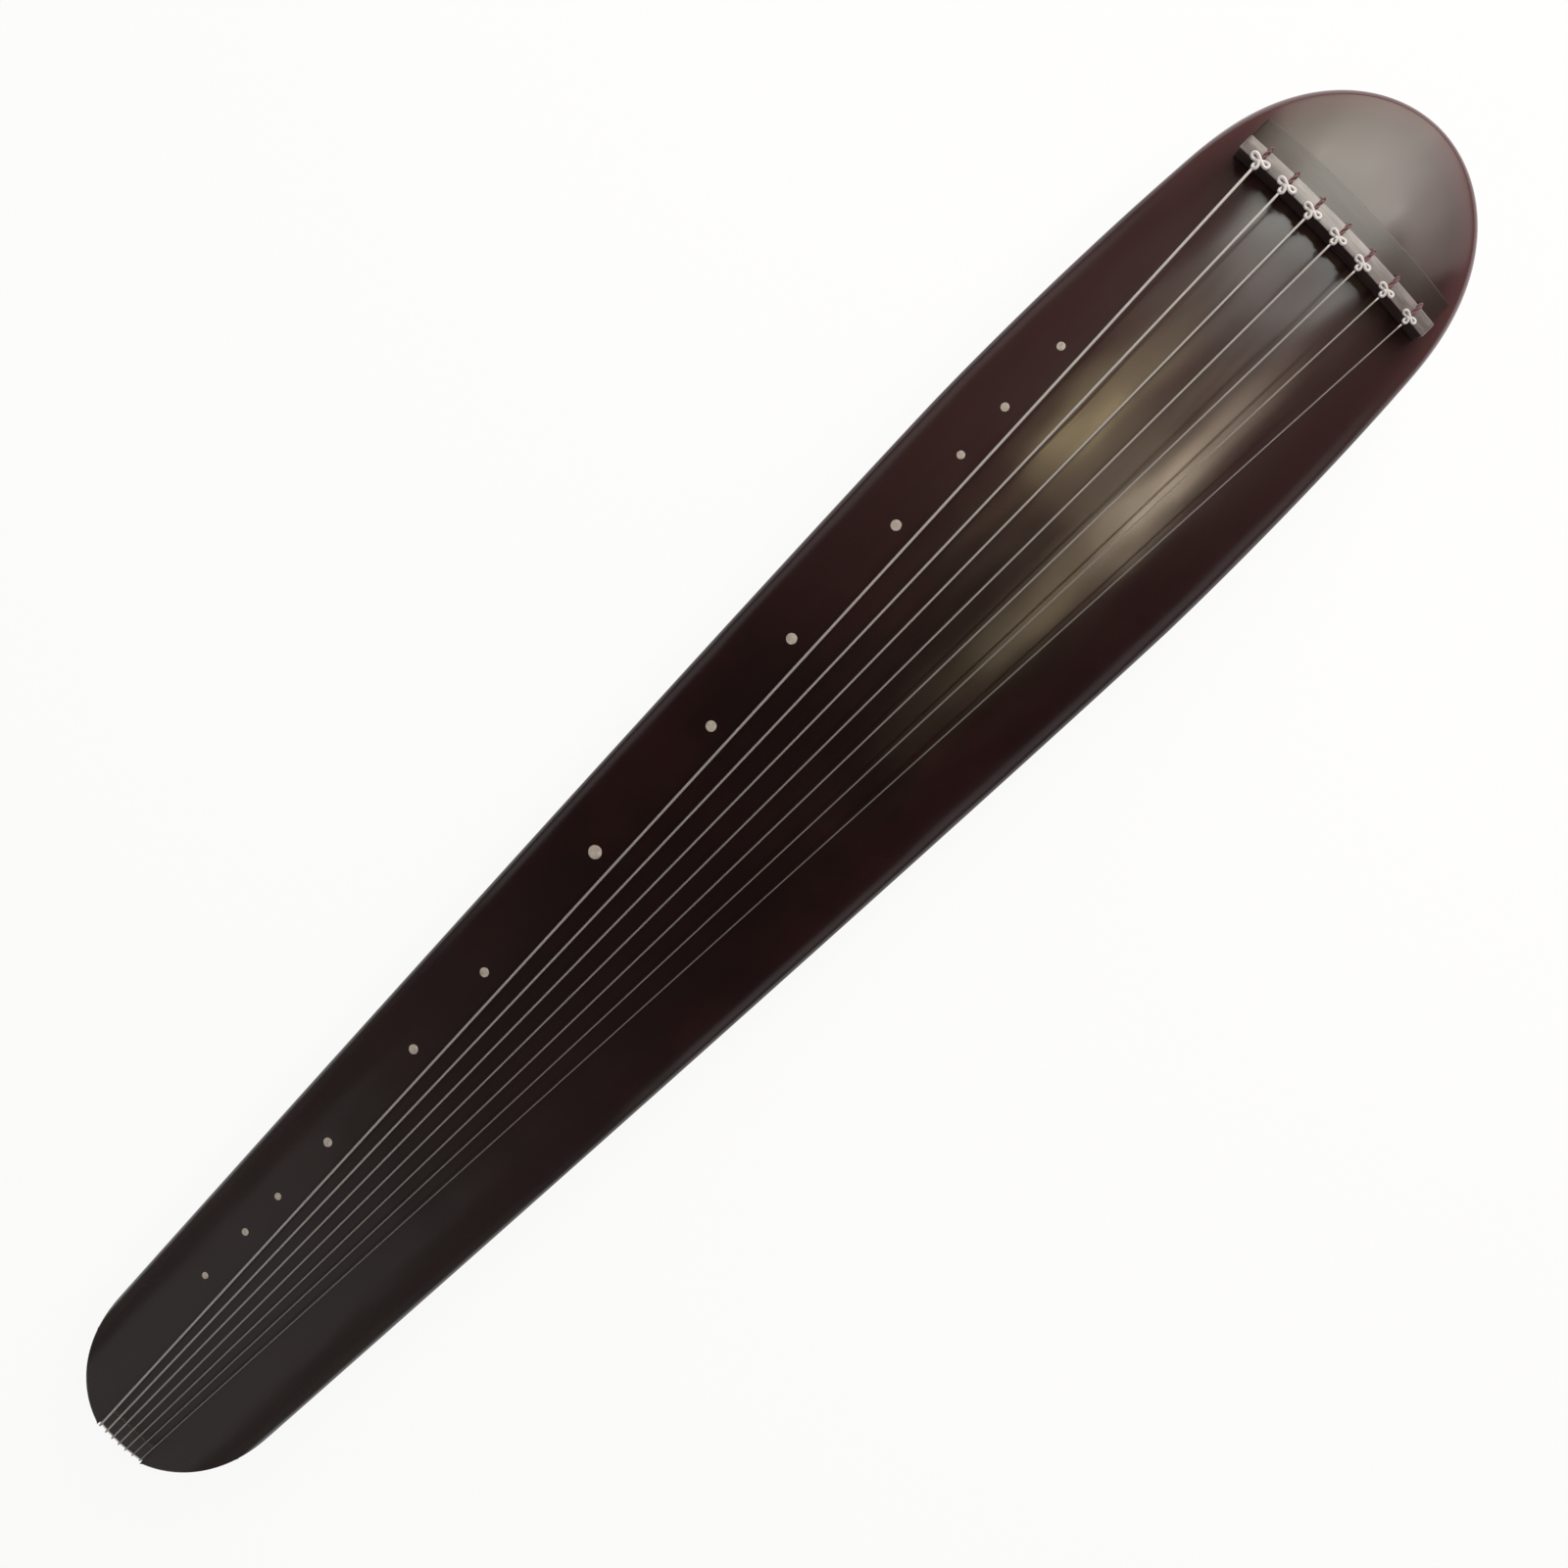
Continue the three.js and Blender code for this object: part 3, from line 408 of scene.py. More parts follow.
def outer_skin():
    """Half of the outside, in rows: up the wall, over the edge on a quarter circle, and along
    straight lines to the middle line, at the height of the playing surface."""
    radius = edge_round(outline[:, 0])
    radius = np.where(np.arange(len(outline)) < notch_steps, notch_round, radius)
    rows = []
    for quarter in np.linspace(0, np.pi / 2, 9):
        xy = inset(radius * (1 - np.cos(quarter)))
        rows.append(at_height(xy, surface_z(xy[:, 0], xy[:, 1]) - radius * (1 - np.sin(quarter))))
    wall_top = rows[0][:, 2]
    wall = [at_height(outline, glue_z + (wall_top - glue_z) * share) for share in (0, 0.25, 0.5, 0.75)]
    inner = rows[-1][:, :2]
    middle = np.column_stack([spine_x, 0 * spine_x])
    for share in 1 - np.cos(np.linspace(0, np.pi / 2, 30)[1:]):
        xy = clear_of_notch(inner + (middle - inner) * share)
        rows.append(at_height(xy, surface_z(xy[:, 0], xy[:, 1])))
    return np.array(wall + rows)


def mirrored(points):
    """The same points on the other side of the middle line."""
    return points * np.array([1, -1, 1])


def ring_of(half):
    """A closed ring of points from the half on the far side, in order round the plan."""
    return np.concatenate([half, half[::-1][1:-1] * np.array([1, -1])])


def flat_face(loops, z, slot=0):
    """A level face inside the first loop and outside the others, in triangles."""
    tidy = [loop[np.linalg.norm(loop - np.roll(loop, 1, axis=0), axis=1) > 1e-4] for loop in loops]
    corners = geometry.tessellate_polygon([[Vector((x, y, 0)) for x, y in loop] for loop in tidy])
    return at_height(np.concatenate(tidy), z), np.array(corners), slot


def closed_loop(loop):
    """A loop of points with its first one again at its end."""
    return np.concatenate([loop, loop[:1]])


def wall_of(loop, z_low, z_high, slot=0):
    """A wall that stands on a closed loop."""
    return grid(np.array([at_height(closed_loop(loop), z) for z in (z_low, z_high)]), slot)


hollow_head_x = 455.0
hollow_tail_x = -500.0
hollow_from_side = 14
hollow_edge = 13
board_thickness = 11
# Each sound hole is a slot: where its middle is, and how long it is.
sound_holes = {"dragon_pool_rim": (98.3, 215.0), "phoenix_pond_rim": (-391.7, 115.0)}
hole_width = 26
pad_margin = 18
pad_drop = 4
pad_ramp = 5
pad_least_z = 56
pad_fade = 10


def slot_loop(x, length, width):
    """The plan of a slot with round ends, its length along X."""
    turn = np.linspace(-np.pi / 2, np.pi / 2, 17)
    radius = width / 2
    run = length / 2 - radius
    right = np.column_stack([x + run + radius * np.cos(turn), radius * np.sin(turn)])
    left = np.column_stack([x - run - radius * np.cos(turn), -radius * np.sin(turn)])
    return np.concatenate([right, left])


def ceiling():
    """Underside of the hollow: an arch like the outside's, with a thicker pad over each hole."""
    x = np.linspace(hollow_tail_x, hollow_head_x, 97)[:, None]
    half = side_half_width(x) - hollow_from_side
    y = half * np.sin(np.linspace(-np.pi / 2, np.pi / 2, 33))[None, :]
    rise = along(x, *crown_heights) - board_thickness - hollow_edge
    z = under_z + hollow_edge + rise * np.clip(1 - (y / half) ** 2, 0, None) ** arch_power
    for hole_x, length in sound_holes.values():
        past_run = np.clip(np.abs(x - hole_x) - (length - hole_width) / 2, 0, None)
        away = np.hypot(past_run, y) - (hole_width / 2 + pad_margin)
        pad = smooth(np.clip(0.5 - away / pad_ramp, 0, 1))
        z = z - pad_drop * pad * np.clip((z - pad_least_z) / pad_fade, 0, 1)
    return np.stack([x + 0 * y, y, z], axis=2)


lacquer, tree, shader = new_material("rubbed_raw_lacquer")
# Raw lacquer dries to a near black brown. It is thinner and redder towards the head and on its
# edge. Towards the tail it is painted greyer, a painted sheen for the grey reflection there.
# Patches are 40 to 120 mm across.
place = add_node(tree, "TexCoord")
cloud = add_node(
    tree,
    "TexNoise",
    {"Vector": place.outputs["Object"], "Scale": 11.0, "Detail": 4.0, "Roughness": 0.55},
)
axes = add_node(tree, "SeparateXYZ", {0: place.outputs["Object"]})
aside = add_node(tree, "Math", {0: axes.outputs["Y"]}, operation="ABSOLUTE")
aside = add_node(
    tree,
    "MapRange",
    {"Value": aside.outputs[0], "From Min": 0.015, "From Max": 0.095, "To Min": -0.06, "To Max": 0.16},
    interpolation_type="SMOOTHSTEP",
)
redness = add_node(tree, "Math", {0: cloud.outputs["Fac"], 1: aside.outputs[0]}, operation="ADD")
tone = add_node(
    tree,
    "ValToRGB",
    {"Fac": redness.outputs[0]},
    stops=[(0.40, linear(0x180C0C)), (0.76, linear(0x251213)), (0.58, linear(0x1E0F0F))],
)
towards_head = add_node(
    tree, "Math", {0: axes.outputs["Y"], 1: 0.9, 2: axes.outputs["X"]}, operation="MULTIPLY_ADD"
)
towards_head = add_node(
    tree,
    "MapRange",
    {"Value": towards_head.outputs[0], "From Min": 0.12, "From Max": 0.52},
    interpolation_type="SMOOTHSTEP",
)
# Painted sheen: the colour turns greyer towards the tail, for the grey reflection the tail shows.
tail_painted_sheen = add_node(
    tree,
    "MapRange",
    {"Value": axes.outputs["X"], "From Min": 0.02, "From Max": -0.48, "To Max": 0.82},
    interpolation_type="SMOOTHSTEP",
)
rim = add_node(tree, "Attribute", attribute_name="rim")
colour = tone.outputs[0]
for amount, shade in (
    (towards_head.outputs[0], 0x382526),
    (tail_painted_sheen.outputs[0], 0x2E2829),
    (rim.outputs["Fac"], 0x56373B),
):
    tone = add_node(tree, "Mix", {0: amount, 6: colour, 7: linear(shade)}, data_type="RGBA")
    colour = tone.outputs[2]
# Hand rubbing leaves a satin surface with soft streaks of more and less gloss along the body.
streak_place = add_node(
    tree, "Mapping", {"Vector": place.outputs["Object"], "Scale": (6.0, 30.0, 30.0)}
)
streaks = add_node(
    tree, "TexNoise", {"Vector": streak_place.outputs[0], "Scale": 3.0, "Detail": 3.0, "Roughness": 0.5}
)
satin = add_node(
    tree,
    "MapRange",
    {"Value": streaks.outputs["Fac"], "From Min": 0.3, "From Max": 0.7, "To Min": 0.17, "To Max": 0.22},
)
# The ground under the lacquer is never dead flat: shallow waves some 50 mm long.
wave_place = add_node(tree, "Mapping", {"Vector": place.outputs["Object"], "Scale": (0.55, 1.0, 1.0)})
waves = add_node(tree, "TexNoise", {"Vector": wave_place.outputs[0], "Scale": 24.0, "Detail": 1.0})
dust = add_node(tree, "TexNoise", {"Vector": place.outputs["Object"], "Scale": 900.0, "Detail": 2.0})
relief = add_node(tree, "Bump", {"Height": waves.outputs["Fac"], "Strength": 1.0, "Distance": 0.0011})
relief = add_node(
    tree,
    "Bump",
    {"Height": dust.outputs["Fac"], "Normal": relief.outputs[0], "Strength": 0.6, "Distance": 0.000004},
)
set_inputs(
    tree,
    shader,
    {"Base Color": colour, "Roughness": satin.outputs[0], "IOR": 1.54, "Normal": relief.outputs[0]},
)

bare_wood, tree, shader = new_material("planed_paulownia")
# Bare paulownia is pale and matt, with straight grain 3 to 6 mm apart along the body.
place = add_node(tree, "TexCoord")
along_grain = add_node(tree, "Mapping", {"Vector": place.outputs["Object"], "Scale": (4.0, 60.0, 60.0)})
rings = add_node(
    tree, "TexNoise", {"Vector": along_grain.outputs[0], "Scale": 4.0, "Detail": 6.0, "Roughness": 0.65}
)
tone = add_node(
    tree,
    "ValToRGB",
    {"Fac": rings.outputs["Fac"]},
    stops=[(0.35, linear(0x8A6840)), (0.68, linear(0xB79262))],
)
relief = add_node(tree, "Bump", {"Height": rings.outputs["Fac"], "Strength": 0.5, "Distance": 0.0002})
set_inputs(
    tree, shader, {"Base Color": tone.outputs[0], "Roughness": 0.75, "Normal": relief.outputs[0]}
)


def points_of(made):
    """The places of a piece's points, in metres."""
    points = np.zeros(len(made.data.vertices) * 3, np.float32)
    made.data.vertices.foreach_get("co", points)
    return points.reshape(-1, 3)


def mark(made, name, value):
    """Gives each point of a piece a value, which its material reads by its name."""
    attribute = made.data.attributes.new(name, "FLOAT", "POINT")
    attribute.data.foreach_set("value", value.astype(np.float32))


rim_start = 0.62
rim_x = 460
rim_fade = 90


def mark_rim(made):
    """A value on each point: 1 on the round head's edge, fading to 0 some 17 mm inside it. It
    goes by the share of the half width squared plus how far the head has closed."""
    x, y, _ = points_of(made).T * 1000
    outwards = (y / side_half_width(x)) ** 2 + head_round(x)
    at_edge = np.clip((outwards - rim_start) / (1 - rim_start), 0, 1)
    mark(made, "rim", at_edge * np.clip((x - rim_x) / rim_fade, 0, 1))


skin = outer_skin()
roof = ceiling()
floor_line = np.concatenate([roof[:, -1], roof[-1, ::-1][1:], roof[::-1, 0][1:], roof[0, :][1:-1]])
side_walls = [
    grid(np.array([at_height(edge[:, :2], glue_z), edge]), 1)
    for edge in (roof[:, 0], roof[:, -1], roof[0], roof[-1])
]
glue_face = flat_face([ring_of(outline), floor_line[:, :2]], glue_z, 1)
top_board = piece(
    "top_board_shell",
    [grid(skin), grid(mirrored(skin)), glue_face, grid(roof, 1)] + side_walls,
    [lacquer, bare_wood],
)
mark_rim(top_board)
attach(top_board, "instrument")
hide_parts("top_board")

# Bottom board. A flat board of catalpa glued under the shell, lacquered the same. It has two
# sound holes, a pool for the pegs near the head, and two square sockets for the feet.

lower_round = 2.5
notch_lower_round = 0.2
lower_round_x, lower_round_run = -600, 50
rebate_width = 3.1
rebate_depth = 3.2
peg_x = 531.5
pool_half_x = 13.0
pool_half_y = 71.81
foot_x = -276.7
foot_y = 45.0
socket_half = 6.8


def lower_edge():
    """Half of the bottom board's wall and its round lower edge, which is tighter at the notch."""
    from_tail = np.clip((outline[:, 0] - lower_round_x) / lower_round_run, 0, 1)
    radius = notch_lower_round + (lower_round - notch_lower_round) * from_tail
    rows = [at_height(outline, glue_z)]
    for quarter in np.linspace(0, np.pi / 2, 7):
        xy = inset(radius * (1 - np.cos(quarter)))
        rows.append(at_height(xy, under_z + radius * (1 - np.sin(quarter))))
    return np.array(rows)


def block_loop(x, y, half_x, half_y):
    """The plan of a rectangular block or hole about its middle."""
    x0, x1, y0, y1 = x - half_x, x + half_x, y - half_y, y + half_y
    return np.array([[x0, y0], [x1, y0], [x1, y1], [x0, y1]], float)


under_skin = lower_edge()
holes_low, holes_high, hole_walls = [], [], []
for hole_x, length in sound_holes.values():
    wide = slot_loop(hole_x, length + 2 * rebate_width, hole_width + 2 * rebate_width)
    narrow = slot_loop(hole_x, length, hole_width)
    step_z = under_z + rebate_depth
    holes_low.append(wide)
    holes_high.append(narrow)
    hole_walls += [wall_of(wide, under_z, step_z), wall_of(narrow, step_z, glue_z)]
    hole_walls.append(flat_face([wide, narrow], step_z))
for opening in (
    block_loop(peg_x, 0, pool_half_x, pool_half_y),
    block_loop(foot_x, foot_y, socket_half, socket_half),
    block_loop(foot_x, -foot_y, socket_half, socket_half),
):
    holes_low.append(opening)
    holes_high.append(opening)
    hole_walls.append(wall_of(opening, under_z, glue_z))
underside = flat_face([ring_of(under_skin[-1][:, :2])] + holes_low, under_z)
glue_face = flat_face([ring_of(outline)] + holes_high, glue_z, 1)
bottom_board = piece(
    "bottom_board_panel",
    [grid(under_skin), grid(mirrored(under_skin)), underside, glue_face] + hole_walls,
    [lacquer, bare_wood],
)
mark_rim(bottom_board)
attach(bottom_board, "instrument")
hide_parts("bottom_board")

# Sound hole rims. A thin band of dark hardwood let in round each sound hole, flush with the
# underside, its inner edge eased.


def rosewood(name, dark, light, dull, bright, index, pores=0.00008):
    """Dark rosewood with fine streaks 1 to 2 mm wide along its length, between two roughnesses,
    and with pores that deep in metres."""
    wood, tree, shader = new_material(name)
    place = add_node(tree, "TexCoord")
    along_grain = add_node(
        tree, "Mapping", {"Vector": place.outputs["Object"], "Scale": (160.0, 14.0, 160.0)}
    )
    rings = add_node(
        tree,
        "TexNoise",
        {"Vector": along_grain.outputs[0], "Scale": 2.2, "Detail": 6.0, "Roughness": 0.6},
    )
    tone = add_node(
        tree,
        "ValToRGB",
        {"Fac": rings.outputs["Fac"]},
        stops=[(0.36, linear(dark)), (0.66, linear(light))],
    )
    polish = add_node(
        tree,
        "MapRange",
        {
            "Value": rings.outputs["Fac"],
            "From Min": 0.3,
            "From Max": 0.7,
            "To Min": dull,
            "To Max": bright,
        },
    )
    relief = add_node(
        tree, "Bump", {"Height": rings.outputs["Fac"], "Strength": 0.4, "Distance": pores}
    )
    set_inputs(
        tree,
        shader,
        {
            "Base Color": tone.outputs[0],
            "Roughness": polish.outputs[0],
            "IOR": index,
            "Normal": relief.outputs[0],
        },
    )
    return wood


# Oiled and rubbed: nearly black, with a soft sheen.
hardwood = rosewood("oiled_rosewood", 0x261C1C, 0x3F3231, 0.42, 0.34, 1.58)

# The band's section, outwards from the hole and up from the underside: 3 mm square.
band_section = [(0.0, 3.0), (0.0, 0.8), (0.25, 0.25), (0.8, 0.0), (2.7, 0.0), (2.95, 0.3), (3.0, 3.0)]


def rim_band(hole_x, length):
    """The band's section carried round the slot."""
    rows = []
    for out, up in band_section + band_section[:1]:
        loop = slot_loop(hole_x, length + 2 * out, hole_width + 2 * out)
        rows.append(at_height(closed_loop(loop), under_z + up))
    return np.array(rows)


for node_name, (hole_x, length) in sound_holes.items():
    band = piece(node_name.replace("_rim", "_band"), [grid(rim_band(hole_x, length))], [hardwood])
    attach(band, "instrument")
    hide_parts(node_name)

# Sound posts and foot blocks. Split pieces of the same pale wood inside the body, which keep
# their solids and show only through the sound holes.

for node_name in ("round_sound_post", "square_sound_post", "foot_block_outer", "foot_block_inner"):
    for material_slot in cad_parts[node_name].material_slots:
        material_slot.material = bare_wood

# Bridge. A bar of rosewood set into the top board across the head, arched on top, with eased
# edges; the strings' knots rest on its front edge.

# The cords and knots keep the bridge's top polished. Its paler colour is a painted sheen where the top
# faces the light.
sheen_painted_wood = rosewood("polished_rosewood_painted_sheen", 0x5A5254, 0x7A7173, 0.27, 0.2, 1.6, 0.00004)
bridge_x = 518.3
bridge_thickness = 9.5
bridge_back_x = bridge_x + bridge_thickness
bridge_half = 73.91
bridge_z = 105.95
bridge_arch = 9
bridge_fall = 0.9
bridge_front_round = 0.45
bridge_back_round = 0.8
bridge_end_round = 1.0
bridge_sunk = 1.5
round_steps = 6


def bridge_top_z(y):
    """A parabola, 9 mm lower at the ends than in the middle."""
    return bridge_z - bridge_arch * (y / bridge_half) ** 2


def bridge_rows():
    """The bar's section carried along Y: upright faces, a tight round on the strings' side, a
    top that falls towards the cords' side, and a wider round there. Near both ends the section
    shrinks on a quarter circle."""
    quarter = np.linspace(0, np.pi / 2, round_steps)
    ends = bridge_half - bridge_end_round * (1 - np.sin(quarter))
    y = np.concatenate([-ends[::-1], np.linspace(-ends[0], ends[0], 81)[1:-1], ends])
    shrink = bridge_end_round * (1 - np.cos(quarter))
    shrink = np.concatenate([shrink[::-1], np.zeros(79), shrink])
    top = bridge_top_z(y) - shrink
    front = bridge_x + shrink
    back = bridge_back_x - shrink
    low = surface_z(np.full_like(y, bridge_x + bridge_thickness / 2), y) - bridge_sunk
    rows = [np.column_stack([front, y, low])]
    for turn in quarter:
        in_x, in_z = bridge_front_round * (1 - np.cos(turn)), bridge_front_round * (1 - np.sin(turn))
        rows.append(np.column_stack([front + in_x, y, top - in_z]))
    for turn in quarter[::-1]:
        in_x, in_z = bridge_back_round * (1 - np.cos(turn)), bridge_back_round * (1 - np.sin(turn))
        rows.append(np.column_stack([back - in_x, y, top - bridge_fall - in_z]))
    rows.append(np.column_stack([back, y, low]))
    return np.array(rows + [rows[0]])


def fan(points, slot=0):
    """A flat end face, in triangles from its first point."""
    return points, np.array([[0, i, i + 1] for i in range(1, len(points) - 1)]), slot


bar_rows = bridge_rows()
bar_top = slice(1, 1 + 2 * round_steps)
# The top takes the pale painted-sheen rosewood and the upright faces take the dark one: a lit top and
# shaded faces of one wood.
bridge = piece(
    "bridge_bar",
    [
        grid(bar_rows[:2], 1),
        grid(bar_rows[bar_top]),
        grid(bar_rows[2 * round_steps :], 1),
        fan(bar_rows[:-1, 0], 1),
        fan(bar_rows[:-1, -1], 1),
    ],
    [sheen_painted_wood, hardwood],
)
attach(bridge, "instrument")
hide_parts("bridge")

# Strip behind the bridge. A band of rosewood inlaid across the head, a little proud, lacquered
# with the head, and bored with seven holes that the tuning cords go down through.

# Under clear lacquer the wood is as dark and smooth as the head round it.
lacquered_wood = rosewood("lacquered_rosewood", 0x302423, 0x352826, 0.26, 0.23, 1.53, 0.000001)
strip_x0, strip_x1 = 528.1, 546.3
strip_proud = 0.5
strip_ease_width = 0.3
strip_ease_depth = 0.1
strip_wall = 3.0
string_count = 7
string_gap = 20.07
from_middle_string = np.arange(3, -4, -1)
string_y = string_gap * from_middle_string
hole_radius = 2.2


def strip_z(x, y, sink=0.0):
    """A little over the playing surface, eased down along the edges."""
    away = np.minimum(x - strip_x0, strip_x1 - x)
    away = np.minimum(away, bridge_half - np.abs(y))
    ease = np.clip(1 - away / strip_ease_width, 0, 1)
    return surface_z(x, y) + strip_proud - strip_ease_depth * ease**2 - sink


def strip_cell(y0, y1, hole_y):
    """The part of the strip round one hole: rings that go from the hole's circle out to the
    cell's rectangle, and the hole's wall below."""
    turn = np.linspace(0, 2 * np.pi, 65)
    c, s = np.cos(turn), np.sin(turn)
    to_x = np.where(c > 0, strip_x1 - peg_x, peg_x - strip_x0) / np.maximum(np.abs(c), 1e-9)
    to_y = np.where(s > 0, y1 - hole_y, hole_y - y0) / np.maximum(np.abs(s), 1e-9)
    reach = np.minimum(to_x, to_y)
    wall_top = np.column_stack([peg_x + hole_radius * c, hole_y + hole_radius * s])
    rows = [at_height(wall_top, strip_z(wall_top[:, 0], wall_top[:, 1], strip_wall))]
    for share in np.concatenate([np.linspace(0, 0.9, 9), [0.955, 0.98, 1]]):
        radius = hole_radius + (reach - hole_radius) * share
        x, y = peg_x + radius * c, hole_y + radius * s
        rows.append(np.column_stack([x, y, strip_z(x, y)]))
    return grid(np.array(rows))


def strip_end(y0, y1):
    """The plain part of the strip beyond the last hole."""
    into = np.concatenate([[0, 0.2, 0.45], np.linspace(0.8, 17.4, 16), [17.75, 18.0, 18.2]])
    x = (strip_x0 + into)[:, None]
    y = np.linspace(y0, y1, 8)[None, :]
    x, y = np.broadcast_arrays(x, y)
    return grid(np.stack([x, y, strip_z(x, y)], axis=2))


def strip_skirt():
    """The wall round the strip, down into its recess."""
    x = np.linspace(strip_x0, strip_x1, 25)
    y = np.linspace(-bridge_half, bridge_half, 121)
    loop = np.concatenate(
        [
            np.column_stack([x, np.full(25, -bridge_half)]),
            np.column_stack([np.full(121, strip_x1), y])[1:],
            np.column_stack([x[::-1], np.full(25, bridge_half)])[1:],
            np.column_stack([np.full(121, strip_x0), y[::-1]])[1:],
        ]
    )
    return grid(np.array([at_height(loop, strip_z(*loop.T, sink)) for sink in (strip_wall, 0.0)]))


cell_y = np.concatenate([[string_y[0] + string_gap / 2], string_y - string_gap / 2])
strip_patches = [strip_cell(cell_y[i + 1], cell_y[i], string_y[i]) for i in range(string_count)]
strip_patches += [strip_end(cell_y[0], bridge_half), strip_end(-bridge_half, cell_y[-1]), strip_skirt()]
strip = piece("cord_strip_band", strip_patches, [lacquered_wood], closed=False)
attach(strip, "instrument")
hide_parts("cord_strip")

# Nut and lower gum. Two rosewood blocks at the tail with a round edge each; the strings run
# over the first, down the tail's face, and round the second to the underside.

nut_face_x = -605.7
nut_z = 86.2
nut_round = 4
nut_x = nut_face_x + nut_round
nut_length = 17
nut_depth = 16
nut_half = 20.5
face_bow = 1.9
# The blocks' faces bow out in full in front, and not at all this far behind the face.
bow_end = 14
bow_fade = 9.8
gum_length = 14
gum_round = 3
gum_drop = 3
seat_gap = 0.3


def bow(y):
    """How far the tail's face stands out: a parabola across."""
    return face_bow * (1 - (y / nut_half) ** 2)


def across_tail(section, half, steps=17, bowed=1.0):
    """A closed section in X and Z drawn out across the tail, with capped ends and a bowed face."""
    x, z = section.T
    face = bowed * np.clip((nut_face_x + bow_end - x) / bow_fade, 0, 1)
    y = np.linspace(-half, half, steps)
    rows = np.array([np.column_stack([x - face * bow(v), np.full(len(x), v), z]) for v in y])
    return [grid(np.concatenate([rows, rows[:, :1]], axis=1)), fan(rows[0]), fan(rows[-1])]


def ease_edges(made, width, segments=3):
    """Rounds the crisp edges of a piece with a bevel."""
    bevel = made.modifiers.new("eased_edges", "BEVEL")
    bevel.width = width * 0.001
    bevel.segments = segments
    bevel.limit_method = "ANGLE"
    bevel.angle_limit = math.radians(40)
    bevel.harden_normals = False


quarter = np.linspace(np.pi / 2, np.pi, 13)
nut_back_x = nut_face_x + nut_length
nut_low_z = nut_z - nut_depth
nut_arc = [nut_x + nut_round * np.cos(quarter), nut_z - nut_round + nut_round * np.sin(quarter)]
nut_section = np.concatenate(
    [[[nut_back_x, nut_low_z], [nut_back_x, nut_z]], np.column_stack(nut_arc), [[nut_face_x, nut_low_z]]]
)
# Lacquered dark like the arch. The part of its round edge that faces up and outwards, where the
# strings bear, is painted pale: a painted highlight where that edge catches the tail's light.
dark_wood = rosewood("lacquered_nut_rosewood", 0x1D1A18, 0x2A2622, 0.36, 0.3, 1.54, 0.00002)
edge_highlight_wood = rosewood("nut_edge_painted_highlight", 0xA5A19D, 0xB8B4B0, 0.4, 0.35, 1.54)
nut = piece("string_nut_block", across_tail(nut_section, nut_half), [dark_wood, edge_highlight_wood])
# Faces that look up and outwards take the pale painted highlight.
for face in nut.data.polygons:
    face.material_index = int(face.normal.x < -0.15 and face.normal.z > 0.3)
ease_edges(nut, 0.2)
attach(nut, "instrument")
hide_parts("string_nut")

quarter = np.linspace(np.pi, np.pi * 1.5, 11)
gum_back_x = nut_face_x + gum_length
gum_top_z = glue_z - seat_gap
gum_arc = [nut_face_x + gum_round + gum_round * np.cos(quarter), under_z + gum_round * np.sin(quarter)]
gum_section = np.concatenate(
    [
        [[gum_back_x, gum_top_z], [nut_face_x, gum_top_z]],
        np.column_stack(gum_arc),
        [[gum_back_x, under_z - gum_drop]],
    ]
)
gum = piece("lower_gum_block", across_tail(gum_section, nut_half), [hardwood])
ease_edges(gum, 0.4)
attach(gum, "instrument")
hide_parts("lower_gum")

# Crown corners. Two curved rosewood inlays that cap the tail beside the nut, flush with the
# arch and lacquered over, so that only a hair line shows where they end.

crown_straight = 24
crown_turn = 40.5
crown_length = 54
crown_end_x = -561.0
crown_low_z = 62.0
crown_proud = 0.08
crown_over_wall = 0.06
crown_steps = 60


def curve(start, turn, end, share):
    """A curve bent towards a turning place: with s the share of the way, (1 - s) squared of its
    start, 2 s (1 - s) of the turn, and s squared of its end."""
    return (1 - share) ** 2 * start + 2 * share * (1 - share) * turn + share**2 * end


def spread(line, at, places):
    """Points of a line in X and Y at the given places along it."""
    return np.column_stack([np.interp(places, at, line[:, i]) for i in (0, 1)])


